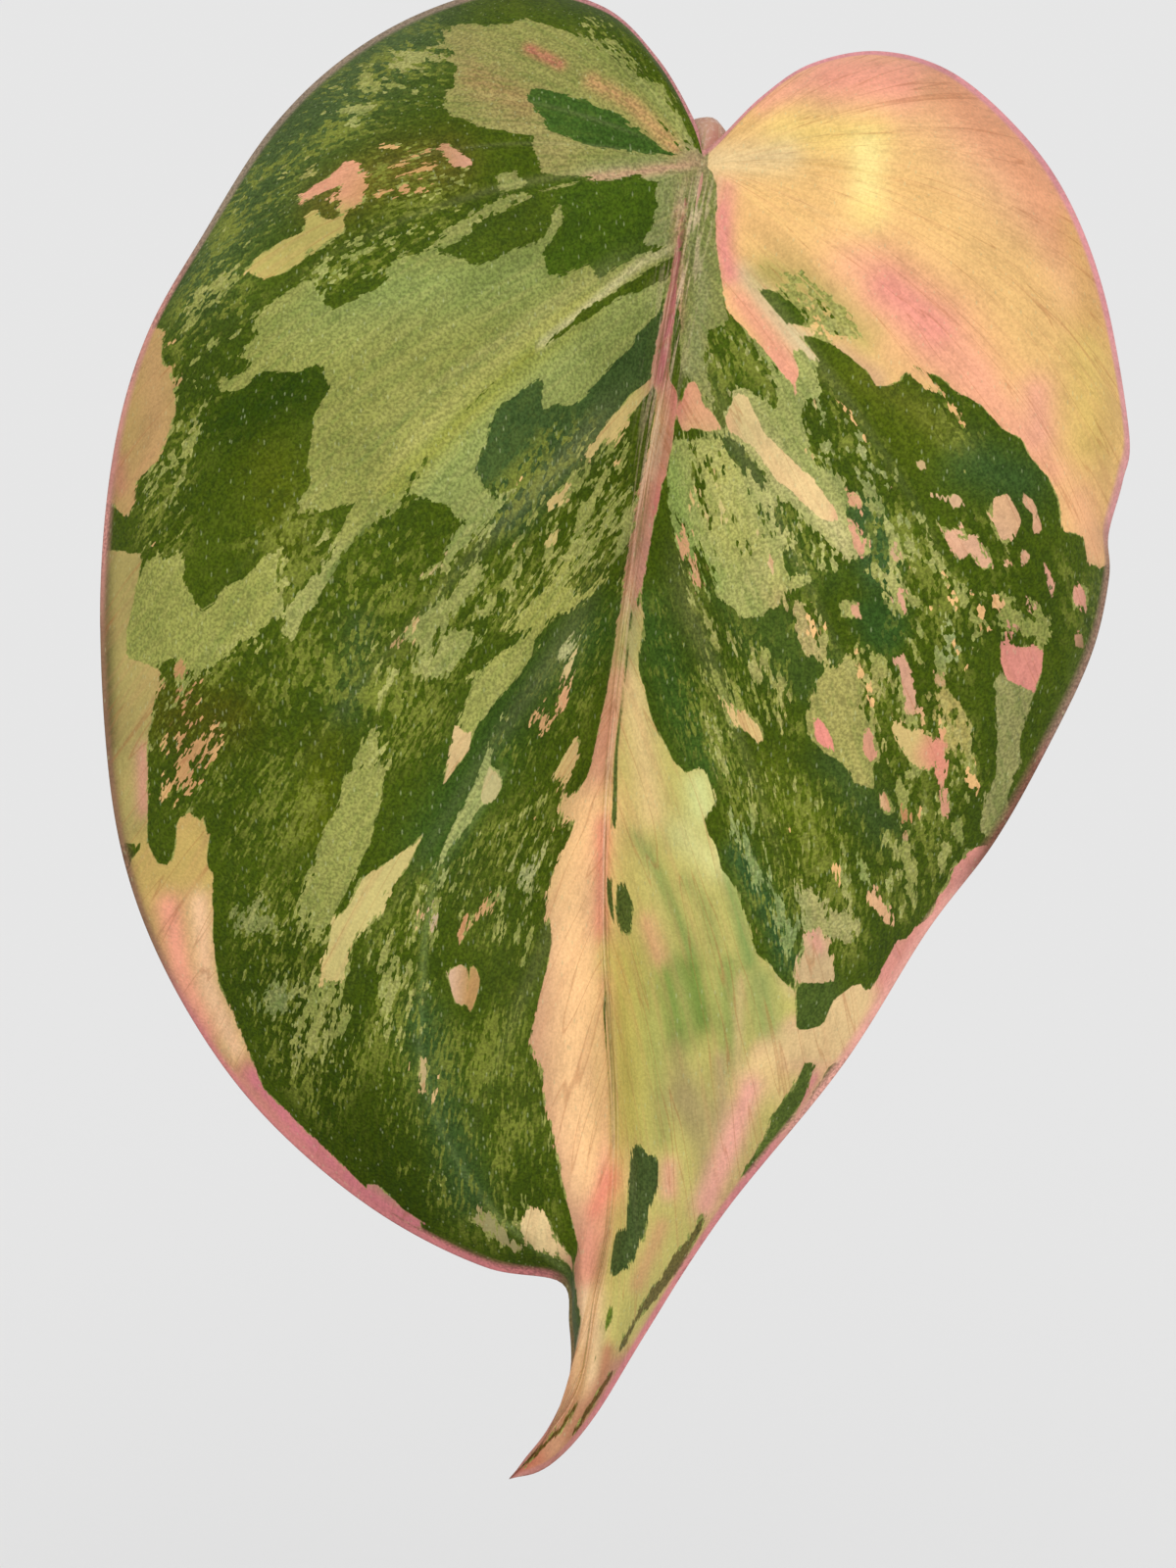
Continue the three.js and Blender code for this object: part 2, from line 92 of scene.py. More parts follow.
# Up to FAN_SHARE of the margin every vein starts in the petiole's joint, the others along the
# midrib; each bows a little towards the lobe, most where the blade is widest.
FAN_SHARE = 0.38
VEIN_SPREAD = 2.4
MIN_ROOT = 0.02
BOW, LOBE_BOW, BOW_START = 0.03, 0.09, 0.08
WIDEST, WIDE_RANGE = 0.37, 0.15
HALF_WIDTH = 0.45
NOTCH_END, TIP_START = 0.12, 0.86
FRONT_FORM = {"droop": 0.07, "lobes": 1.0, "fold": 0.1, "arch": 0.042, "roll": 0.06,
              "wave": 0.008, "waves": 4, "phase": 0.1}
PLAIN_FORM = {"droop": 0.16, "lobes": 0.9, "fold": 0.14, "arch": 0.035, "roll": 0.05,
              "wave": 0.016, "waves": 4}
SAMPLES = 1200
# The upper face's relief in millimetres, on a leaf of RELIEF_LENGTH.
RELIEF_LENGTH = 81
VEIN_SINK, VEIN_WIDTH, VEIN_START = 0.15, 0.55, 3
FIELD_RISE, FIELD_WIDTH, FIELD_START = 0.16, 2.6, 6
RIB_SINK, RIB_WIDTH = 0.16, 0.8
# The blade thins towards its rim, which is rounded by three rings: how far out, how far down.
RIM_THINNING = 0.35
RIM_SIZE = 0.65
RIM_RINGS = ((0.35, 0.12), (0.5, 0.5), (0.35, 0.88))
RIM_STARTS, RIM_STOPS = 0.01, 0.985
# Keeps the patterns of the blade's two halves apart.
HALF_SHIFT = 3.7


def bell(x):
    return np.exp(-np.square(x))


def smoothstep(x, low, high):
    t = np.clip((x - low) / (high - low), 0, 1)
    return t * t * (3 - 2 * t)


def smooth_path(points, count, centripetal=False):
    """Evenly spaced points on a smooth curve through the given ones."""
    p = np.array(points, float)
    first, last = (2 * p[0] - p[1], 2 * p[-1] - p[-2]) if centripetal else (p[0], p[-1])
    padded = np.vstack([first, p, last])
    t = np.linspace(0, 1, 40, endpoint=False)[:, None]
    pieces = []
    for a, b, c, d in zip(padded, padded[1:], padded[2:], padded[3:]):
        if centripetal:
            ta, tb, tc = (math.sqrt(np.linalg.norm(v)) for v in (b - a, c - b, d - c))
            start = ((b - a) / ta - (c - a) / (ta + tb) + (c - b) / tb) * tb
            end = ((c - b) / tb - (d - b) / (tb + tc) + (d - c) / tc) * tb
        else:
            start, end = (c - a) / 2, (d - b) / 2
        pieces.append((2 * t**3 - 3 * t**2 + 1) * b + (t**3 - 2 * t**2 + t) * start
                      + (3 * t**2 - 2 * t**3) * c + (t**3 - t**2) * end)
    fine = np.vstack(pieces + [p[-1:]])
    walked = np.append(0, np.cumsum(np.linalg.norm(np.diff(fine, axis=0), axis=1)))
    stations = np.linspace(0, walked[-1], count)
    return np.stack([np.interp(stations, walked, fine[:, k]) for k in range(p.shape[1])], 1)


def on_path(samples, share):
    """The point at a share of a path that is given as evenly spaced samples."""
    stations = np.linspace(0, 1, len(samples))
    return np.stack([np.interp(share, stations, samples[:, k])
                     for k in range(samples.shape[1])], -1)


def vein_root(share):
    """How far down the midrib the vein starts that ends at this share of the margin."""
    return np.clip((share - FAN_SHARE) / (1 - FAN_SHARE), 0, 1) ** VEIN_SPREAD


def blade_place(leaf, side, share, reach):
    """Where a spot of the blade lies: across, up and out of the upper face, in millimetres."""
    length = leaf["length"]
    form = leaf["form"]
    margin = on_path(leaf[SIDES[side]], share)
    root = vein_root(share)
    root = on_path(leaf["rib"], np.where(root < MIN_ROOT, 0, root))
    root = np.where((share >= 1)[..., None], margin, root)
    chord = margin - root
    bow = BOW + LOBE_BOW * bell((share - WIDEST) / WIDE_RANGE)
    bow = smoothstep(share, 0, BOW_START) * bow
    outward = side * np.stack([chord[..., 1], -chord[..., 0]], -1)
    flat = root + chord * reach[..., None] + outward * (bow * 4 * reach * (1 - reach))[..., None]
    down = flat[..., 1] / length
    spread = reach * np.linalg.norm(chord, axis=-1) / length
    wide = np.linalg.norm(chord, axis=-1) / (HALF_WIDTH * length)
    ends = smoothstep(share, 0, NOTCH_END) * (1 - smoothstep(share, TIP_START, 1))
    ripple = np.sin(2 * math.pi * (form["waves"] * share + form["phase"]) + side)
    depth = (form["fold"] * spread - form["droop"] * down**2
             - form["lobes"] * np.maximum(0, -down) ** 1.5
             + form["arch"] * wide**2 * np.sin(math.pi * reach) * ends
             - form["roll"] * reach**5 * ends + form["wave"] * reach**3 * ends * ripple)
    return np.stack([flat[..., 0], -flat[..., 1], depth * length], -1)


def leaf_frame(leaf):
    """The leaf's own axes, as columns: across, towards the lobes, and out of the upper face."""
    turn, drop = math.radians(leaf["facing"]), math.radians(leaf["hang"])
    away = np.array([math.sin(turn), -math.cos(turn), 0])
    up = np.array([0, 0, 1.0])
    top = -(away * math.cos(drop) - up * math.sin(drop))
    face = away * math.sin(drop) + up * math.cos(drop)
    return np.stack([np.cross(top, face), top, face], 1)


def relief(leaf, side, share, reach):
    """How far the face rises between the veins and sinks along them, in millimetres, and how far
    each place is from a vein, from the midrib and from the rim."""
    length = np.linalg.norm(on_path(leaf[SIDES[side]], share)
                            - on_path(leaf["rib"], vein_root(share)), axis=-1)
    out = reach * length
    nearest = np.full_like(share, 99.0)
    for vein in leaf["veins"][SIDES[side]]:
        away = np.abs(share - vein) * leaf["girth"]
        nearest = np.minimum(nearest, away * np.maximum(reach, 0.12))
    size = leaf["length"] / RELIEF_LENGTH
    rise = (-VEIN_SINK * size * bell(nearest / (VEIN_WIDTH * size))
            * smoothstep(out, 0, VEIN_START) * (1 - reach**4))
    rise += (FIELD_RISE * size * (1 - bell(nearest / (FIELD_WIDTH * size)))
             * smoothstep(out, 0, FIELD_START) * (1 - reach**3))
    rise -= RIB_SINK * size * bell(out / (RIB_WIDTH * size))
    return rise, nearest, out, length * (1 - reach)


def blade_face(leaf, side, step, thickness):
    """One face's grid, on every step-th row and column: its places, and what they know of the
    veins. The lower face is the upper one moved in by the thickness."""
    rows, columns = leaf["grid"]
    share, reach = np.meshgrid(np.linspace(0, 1, rows + 1)[::step],
                               np.linspace(0, 1, columns + 1)[::step], indexing="ij")
    place = blade_place(leaf, side, share, reach)
    rise, vein, out, rim = relief(leaf, side, share, reach)
    place[..., 2] += rise - thickness * (1 - RIM_THINNING * reach)
    spread = np.linalg.norm(np.gradient(place, axis=0), axis=-1) * rows / step
    return place, share, reach, vein, out, rim, spread


def smooth_mesh(name, points, faces):
    """A smooth-shaded mesh, from points in millimetres and the faces between them."""
    mesh = bpy.data.meshes.new(name)
    mesh.from_pydata((points * MM).tolist(), [], faces)
    mesh.polygons.foreach_set("use_smooth", [True] * len(mesh.polygons))
    return mesh


def build_blade(name, leaf):
    """The blade as one closed mesh with a rounded edge; the underside has half as many rows."""
    rows = leaf["grid"][0]
    joint = np.array(leaf["joint"], float)
    places, data, faces = [], [], []
    start = 0
    for side in SIDES:
        top = blade_face(leaf, side, 1, 0)
        under = blade_face(leaf, side, 2, leaf["thickness"])
        edge = top[0][:, -1]
        outward = np.cross(np.gradient(edge, axis=0), (0, 0, 1)) * -side
        outward /= np.maximum(np.linalg.norm(outward, axis=1), 1e-9)[:, None]
        row = np.linspace(0, 1, rows + 1)
        outward *= smoothstep(row, 0, RIM_STARTS)[:, None]
        outward *= (1 - smoothstep(row, RIM_STOPS, 1))[:, None]
        size = leaf["thickness"] * RIM_SIZE
        blocks = [(*top, 0.0), (*under, 1.0)]
        for wide, deep in RIM_RINGS:
            ring = edge + outward * size * wide - np.array([0, 0, size * deep])
            blocks.append((ring[:, None], *(part[:, -1:] for part in top[1:]), 0.0))
        number = []
        for place, *known, below in blocks:
            count = known[0].size
            number.append(start + np.arange(count).reshape(known[0].shape))
            start += count
            places.append(place.reshape(-1, 3))
            data.append(np.stack([part.ravel() for part in known]
                                 + [np.full(count, below), np.full(count, side)], 1))

        def quads(grid, flip):
            a, b = grid[:-1, :-1], grid[:-1, 1:]
            c, d = grid[1:, 1:], grid[1:, :-1]
            order = (a, d, c, b) if flip else (a, b, c, d)
            faces.append(np.stack(order, -1).reshape(-1, 4))

        up, low = number[:2]
        quads(up, side > 0)
        quads(low, side < 0)
        quads(np.concatenate([up[:, -1:], *number[2:]], 1), side > 0)
        last, edge_low = number[-1][:, 0], low[:, -1]
        first, middle, third = last[0:-1:2], last[1::2], last[2::2]
        here, there = edge_low[:-1], edge_low[1:]
        for tri in ((first, here, middle), (middle, here, there), (middle, there, third)):
            tri = np.stack(tri, 1)
            tri = tri[:, ::-1] if side < 0 else tri
            faces.append(np.concatenate([tri, tri[:, -1:]], 1))
    places = np.concatenate(places)
    data = np.concatenate(data)
    # The two halves share their points along the midrib; faces that shrink to a line go.
    _, keep, merged = np.unique(np.round(places, 4), axis=0, return_index=True,
                                return_inverse=True)
    shown, source = [], []
    for corner in np.concatenate(faces):
        point = merged.ravel()[corner]
        distinct = [k for k in range(4) if point[k] != point[k - 1]]
        ring = [int(point[k]) for k in distinct]
        if len(set(ring)) >= 3 and len(set(ring)) == len(ring):
            shown.append(ring)
            source += [int(corner[k]) for k in distinct]
    mesh = smooth_mesh(name, places[keep] @ leaf_frame(leaf).T + joint, shown)
    uv = mesh.uv_layers.new(name="along_veins")
    pairs = np.stack([data[source, 3], data[source, 0] + data[source, 7] * HALF_SHIFT], 1)
    uv.data.foreach_set("uv", pairs.astype(np.float32).ravel())
    return in_scene(name, mesh), places[keep], data[keep]


def store(mesh, name, values):
    """Keeps one number, or one colour, for each vertex of the mesh."""
    values = np.asarray(values, np.float32)
    if values.ndim == 1:
        mesh.attributes.new(name, "FLOAT", "POINT").data.foreach_set("value", values)
    else:
        colours = np.concatenate([values, np.ones((len(values), 1), np.float32)], 1)
        kept_colours = mesh.attributes.new(name, "FLOAT_COLOR", "POINT")
        kept_colours.data.foreach_set("color", colours.ravel())


def linear(code):
    """The linear colour of an sRGB code such as #a0b0c0."""
    srgb = np.array([int(code[k:k + 2], 16) / 255 for k in (1, 3, 5)])
    return np.where(srgb <= 0.04045, srgb / 12.92, ((srgb + 0.055) / 1.055) ** 2.4)


# The leaf's tissue has three tones: dark green, sage where only one layer is green, and light
# where none is. Marks are laid one over another, and each keeps its tone's colour around it.
DARK, SAGE, LIGHT, RIM = "dark", "sage", "light", "rim_tint"
TONES = {DARK: "#44550a", SAGE: "#91944c", LIGHT: "#eabb7c", RIM: "#b77d74"}
# How far from its edge, in millimetres, a patch is sure of its tone, and how far its colour spills.
EDGE = 2.0
SPILL = 1.2
FAR_OUT = 9.0
# A light patch keeps its edge clean; a zone of specks fades in across its outline.
CLEAN_EDGE, CLEAN_WIDTH = 0.4, 0.7
FADE = (-0.6, 0.9)


def bare_skin(points, mottle):
    """The unmarked skin: dark all over."""
    count = len(points)
    skin = {"points": points, "green": np.full(count, EDGE), "deep": np.full(count, EDGE),
            "mottle": np.full(count, mottle)}
    for tone, code in TONES.items():
        skin[tone] = np.tile(linear(code), (count, 1))
    return skin


def inside(points, outline):
    """Signed distance to a closed outline, positive inside it."""
    corner = np.array(outline, float)
    low, high = corner.min(0) - EDGE - 1, corner.max(0) + EDGE + 1
    near = np.all((points > low) & (points < high), axis=1)
    p = points[near]
    away = np.full(len(p), 1e9)
    odd = np.zeros(len(p), bool)
    for a, b in zip(corner, np.roll(corner, -1, axis=0)):
        ab = b - a
        t = np.clip(((p - a) @ ab) / max(ab @ ab, 1e-9), 0, 1)
        away = np.minimum(away, np.linalg.norm(p - a - t[:, None] * ab, axis=1))
        crosses = (a[1] > p[:, 1]) != (b[1] > p[:, 1])
        if ab[1]:
            odd ^= crosses & (p[:, 0] < a[0] + (p[:, 1] - a[1]) * ab[0] / ab[1])
    result = np.full(len(points), -FAR_OUT)
    result[near] = np.where(odd, away, -away)
    return result


def blend(skin, key, value, weight):
    old = skin[key]
    weight = weight[:, None] if old.ndim == 2 else weight
    skin[key] = old + (value - old) * weight


def mark(skin, tone, code, outline):
    """One patch of a tone, with its own colour."""
    d = np.clip(inside(skin["points"], outline), -FAR_OUT, EDGE)
    for key, is_green in (("green", tone != LIGHT), ("deep", tone == DARK)):
        skin[key] = np.maximum(skin[key], d) if is_green else np.minimum(skin[key], -d)
    blend(skin, tone, linear(code), np.clip((d + SPILL) / SPILL, 0, 1))
    if tone == LIGHT:
        blend(skin, "mottle", skin["mottle"] * CLEAN_EDGE, bell(d / CLEAN_WIDTH))


def speckle(skin, outline, *levels):
    """A zone where the tones break up: how green, how deep a green, and how coarsely it varies."""
    weight = smoothstep(inside(skin["points"], outline), *FADE)
    for key, level in zip(("green", "deep", "mottle"), levels):
        blend(skin, key, level, weight)


def off_route(points, route):
    """How far the points are from a route of straight pieces."""
    route = np.array(route, float)
    away = np.linalg.norm(points - route[0], axis=1)
    for a, b in zip(route, route[1:]):
        ab = b - a
        t = np.clip(((points - a) @ ab) / max(ab @ ab, 1e-9), 0, 1)
        away = np.minimum(away, np.linalg.norm(points - a - t[:, None] * ab, axis=1))
    return away


def tint(skin, tones, code, route, width, strength):
    """A soft wash of colour along a route, in the named tones only."""
    weight = strength * bell(off_route(skin["points"], route) / width)
    for key in tones.split():
        blend(skin, key, linear(code), weight)


def add(tree, kind, links=None, out=0, **settings):
    """Adds a node: its settings, what goes into its sockets, and which output comes back."""
    node = tree.nodes.new(kind)
    for name, value in settings.items():
        setattr(node, name, value)
    for name, value in (links or {}).items():
        if isinstance(value, bpy.types.NodeSocket):
            tree.links.new(value, node.inputs[name])
        elif isinstance(value, str):
            node.inputs[name].default_value = (*linear(value), 1)
        else:
            node.inputs[name].default_value = value
    return node.outputs[out] if len(node.outputs) else node


def finish(name):
    """A new material and its empty node tree."""
    material = bpy.data.materials.new(name)
    material.use_nodes = True
    material.node_tree.nodes.clear()
    return material, material.node_tree


# Velvet: a leathery blade under a pile of very fine hairs, which gives its soft bloom and grain.
# The tones meet in the small stepped blocks that the tissue grows in, in clusters and sectors that
# run out along the veins. Lanes and thin nerves lie between them, and fibres beside the midrib.
MATH, VECTOR, MIX = "ShaderNodeMath", "ShaderNodeVectorMath", "ShaderNodeMix"
RANGE, NOISE = "ShaderNodeMapRange", "ShaderNodeTexNoise"
COLOUR = {"out": 2, "data_type": "RGBA"}
SMOOTH = {"interpolation_type": "SMOOTHSTEP"}
# In millimetres: along the veins and across them. A sector spans a share of the blade instead.
CELL = (0.3, 0.15)
CLUSTER = (2.2, 0.75)
SECTOR_LENGTH, SECTORS_ROUND = 9.0, 36.0
# How many there are in a metre: grains of the velvet, clouds, and the painted glints of hair tips
# each way.
GRAINS, CLOUDS, HAIR_GLINTS = 5600.0, 230.0, (2600, 2600, 900)
velvet, tree = finish("velvet_leaf_tissue")
kept = {name: add(tree, "ShaderNodeAttribute", attribute_name=name, out="Fac")
        for name in ("green", "deep", "mottle", "rim", "below", "vein_line", "fibre",
                     "spread_level")}
tones = {name: add(tree, "ShaderNodeAttribute", attribute_name=name, out="Color")
         for name in TONES}
walked = add(tree, "ShaderNodeSeparateXYZ", {0: add(tree, "ShaderNodeUVMap",
                                                    uv_map="along_veins")}, out="X")
round_leaf = walked.node.outputs["Y"]
level = add(tree, MATH, {0: kept["spread_level"]}, operation="FLOOR")
fanned = add(tree, MATH, {0: 2.0, 1: level}, operation="POWER")
fanned = add(tree, MATH, {0: fanned, 1: round_leaf}, operation="MULTIPLY")
place = add(tree, "ShaderNodeCombineXYZ", {"X": walked, "Y": fanned})
place = add(tree, VECTOR, {0: place, 1: (1 / CELL[0], 1 / CELL[1], 1)}, operation="MULTIPLY")
cell = add(tree, "ShaderNodeTexVoronoi", {"Vector": place, "Scale": 1.0}, out="Position",
           voronoi_dimensions="2D", distance="CHEBYCHEV")
cluster_place = add(tree, VECTOR, {0: cell, 1: (CELL[0] / CLUSTER[0], CELL[1] / CLUSTER[1], 1)},
                    operation="MULTIPLY")
sector_place = add(tree, "ShaderNodeCombineXYZ", {
    "X": add(tree, MATH, {0: walked, 1: SECTOR_LENGTH}, operation="DIVIDE"),
    "Y": add(tree, MATH, {0: round_leaf, 1: SECTORS_ROUND}, operation="MULTIPLY")})


def patchiness(shift, fine=1.0):
    """How a tone breaks up, about -1 to 1: by sector, by cluster and by single cell."""
    by_sector, by_cluster, by_cell = (
        add(tree, VECTOR, {0: start, 1: shift}, operation="ADD")
        for start in (sector_place, cluster_place, cell))
    total = add(tree, NOISE, {"Vector": by_sector, "Scale": 1.0, "Detail": 1.0},
                noise_dimensions="2D")
    cluster = add(tree, NOISE, {"Vector": by_cluster, "Scale": fine, "Detail": 3.0,
                                "Roughness": 0.62}, noise_dimensions="2D")
    single = add(tree, "ShaderNodeTexWhiteNoise", {"Vector": by_cell}, noise_dimensions="3D")
    for part, weight in ((cluster, 1.9), (single, 0.36)):
        total = add(tree, MATH, {0: part, 1: weight, 2: total}, operation="MULTIPLY_ADD")
    total = add(tree, MATH, {0: total, 1: 1.63}, operation="SUBTRACT")
    return add(tree, MATH, {0: total, 1: 1.6}, operation="MULTIPLY")


def layer(name, shift):
    """1 where a layer of the tissue is green, 0 where it isn't."""
    value = add(tree, MATH, {0: patchiness(shift), 1: kept["mottle"], 2: kept[name]},
                operation="MULTIPLY_ADD")
    return add(tree, RANGE, {0: value, 1: -0.04, 2: 0.04}, **SMOOTH)


spot = add(tree, "ShaderNodeTexCoord", out="Object")
grain = add(tree, NOISE, {"Vector": spot, "Scale": GRAINS, "Detail": 1.0})
cloud = add(tree, NOISE, {"Vector": spot, "Scale": CLOUDS, "Detail": 3.0})
flecks = patchiness((71.0, 13.0, 5.0), 2.4)
flecks = add(tree, MATH, {0: cloud, 1: 1.6, 2: flecks}, operation="MULTIPLY_ADD")
lanes, nerves = (
    add(tree, NOISE, {"Vector": add(tree, VECTOR, {0: sector_place, 1: stretch},
                                    operation="MULTIPLY"), "Scale": 1.0, "Detail": detail},
        noise_dimensions="2D")
    for stretch, detail in (((1.1, 4.5, 1), 3.0), ((0.3, 1.4, 1), 2.0)))
lit = add(tree, RANGE, {0: lanes, 1: 0.5, 2: 0.3, 3: 0.0, 4: 0.22})
worn = add(tree, RANGE, {0: lanes, 1: 0.5, 2: 0.68, 3: 0.0, 4: 0.3})
nerves = add(tree, MATH, {0: add(tree, MATH, {0: nerves, 1: 0.5}, operation="SUBTRACT")},
             operation="ABSOLUTE")
nerves = add(tree, RANGE, {0: nerves, 1: 0.0, 2: 0.013, 3: 0.36, 4: 0.0}, **SMOOTH)
lively = add(tree, RANGE, {0: kept["mottle"], 1: 0.2, 2: 1.0, 3: 0.06, 4: 0.8})
bright = add(tree, RANGE, {0: flecks, 1: 0.8, 2: 1.3, 4: lively}, **SMOOTH)
dull = add(tree, RANGE, {0: flecks, 1: 0.75, 2: 0.25, 4: 0.3}, **SMOOTH)
less_bright = add(tree, MATH, {0: bright, 1: 0.45}, operation="MULTIPLY")
less_worn = add(tree, MATH, {0: worn, 1: 0.55}, operation="MULTIPLY")
STAINS = {
    DARK: ((bright, "#7d8434"), (dull, "#263b10")),
    SAGE: ((less_bright, "#bab873"), (dull, "#6f8038"), (lit, "#b3ae66"), (worn, "#6f7f3e")),
    LIGHT: ((less_worn, "#c98c66"), (nerves, "#a8663e")),
}
for tone, stains in STAINS.items():
    for share, code in stains:
        tones[tone] = add(tree, MIX, {0: share, 6: tones[tone], 7: code}, **COLOUR)
is_deep = layer("deep", (3.0, 41.0, 9.0))
is_green = layer("green", (29.0, 7.0, 2.0))
tissue = add(tree, MIX, {0: is_deep, 6: tones[SAGE], 7: tones[DARK]}, **COLOUR)
tissue = add(tree, MIX, {0: is_green, 6: tones[LIGHT], 7: tissue}, **COLOUR)
strands = add(tree, "ShaderNodeCombineXYZ", {
    "X": add(tree, MATH, {0: walked, 1: 3.2}, operation="MULTIPLY"),
    "Y": add(tree, MATH, {0: round_leaf, 1: 24.0}, operation="MULTIPLY")})
strands = add(tree, NOISE, {"Vector": strands, "Scale": 1.0, "Detail": 2.0},
              noise_dimensions="2D")
dark_fibre, pale_fibre = (
    add(tree, RANGE, {0: strands, 1: 0.5, 2: edge, 3: 0.0, 4: kept["fibre"]})
    for edge in (0.38, 0.62))
# Painted highlights: tiny pale glints where the hair tips catch the light, mixed into the tissue's
# colour.
hair_glints = add(tree, VECTOR, {0: spot, 1: HAIR_GLINTS}, operation="MULTIPLY")
hair_glints = add(tree, "ShaderNodeTexVoronoi", {"Vector": hair_glints, "Scale": 1.0})
hair_glints = add(tree, RANGE, {0: hair_glints, 1: 0.08, 2: 0.2, 3: 0.26, 4: 0.0}, **SMOOTH)
for share, code in ((kept["vein_line"], "#c3b58a"), (dark_fibre, "#5d6630"),
                    (pale_fibre, "#dcc0a0"), (kept["rim"], tones[RIM]), (hair_glints, "#c0c898")):
    tissue = add(tree, MIX, {0: share, 6: tissue, 7: code}, **COLOUR)
# The pile's light and shade are fine grains, deeper in green tissue than in light, over soft
# clouds; light tissue is a little cloudy in its small blocks too.
fine_shade = add(tree, RANGE, {0: grain, 1: 0.35, 2: 0.65,
                               3: add(tree, RANGE, {0: is_green, 3: 0.93, 4: 0.74}),
                               4: add(tree, RANGE, {0: is_green, 3: 1.07, 4: 1.26})})
block_shade = add(tree, RANGE, {0: flecks, 1: 0.2, 2: 0.9,
                                3: add(tree, RANGE, {0: is_green, 3: 0.91, 4: 1.0}),
                                4: add(tree, RANGE, {0: is_green, 3: 1.03, 4: 1.0})})
shade = add(tree, RANGE, {0: cloud, 1: 0.3, 2: 0.7, 3: 0.92, 4: 1.08})
for more in (fine_shade, block_shade):
    shade = add(tree, MATH, {0: shade, 1: more}, operation="MULTIPLY")
tissue = add(tree, VECTOR, {0: tissue, "Scale": shade}, operation="SCALE")
under = add(tree, MIX, {0: 0.38, 6: tissue, 7: "#97916c"}, **COLOUR)
tissue = add(tree, MIX, {0: kept["below"], 6: tissue, 7: under}, **COLOUR)
bump = add(tree, "ShaderNodeBump", {"Height": grain, "Strength": 0.35, "Distance": 0.0001})
surface = add(tree, "ShaderNodeBsdfPrincipled", {
    "Base Color": tissue, "Roughness": 0.6, "Normal": bump, "Sheen Weight": 0.02,
    "Specular IOR Level": 0.05})
add(tree, "ShaderNodeOutputMaterial", {"Surface": surface})


# The front leaf, the one that the camera looks at. Its marks are placed by their corners in the
# photograph's pixels; a pixel is 0.06 mm at this leaf, and the petiole's joint is at JOINT_PIXEL.
PIXEL = 0.06
JOINT_PIXEL = np.array([718, 168])
MIDDLE_PIXEL = np.array([600, 800])
# The length of half the margin, in millimetres, from the notch round to the tip.
GIRTH = 135.0
FRONT_MOTTLE = 0.22
front = {**FRONT_OUTLINE, "form": FRONT_FORM, "joint": (57.1, -5.4, 183.3), "facing": 0,
         "hang": 80, "grid": (320, 110), "thickness": 0.55, "rim": 0.55, "girth": GIRTH,
         "veins": {"left": [0.12, 0.24, 0.34, 0.42, 0.55, 0.66, 0.75, 0.84, 0.91],
                   "right": [0.1, 0.2, 0.3, 0.42, 0.545, 0.64, 0.73, 0.82, 0.9]}}
for key in ("left", "right", "rib"):
    front[key] = smooth_path(FRONT_OUTLINE[key], SAMPLES)

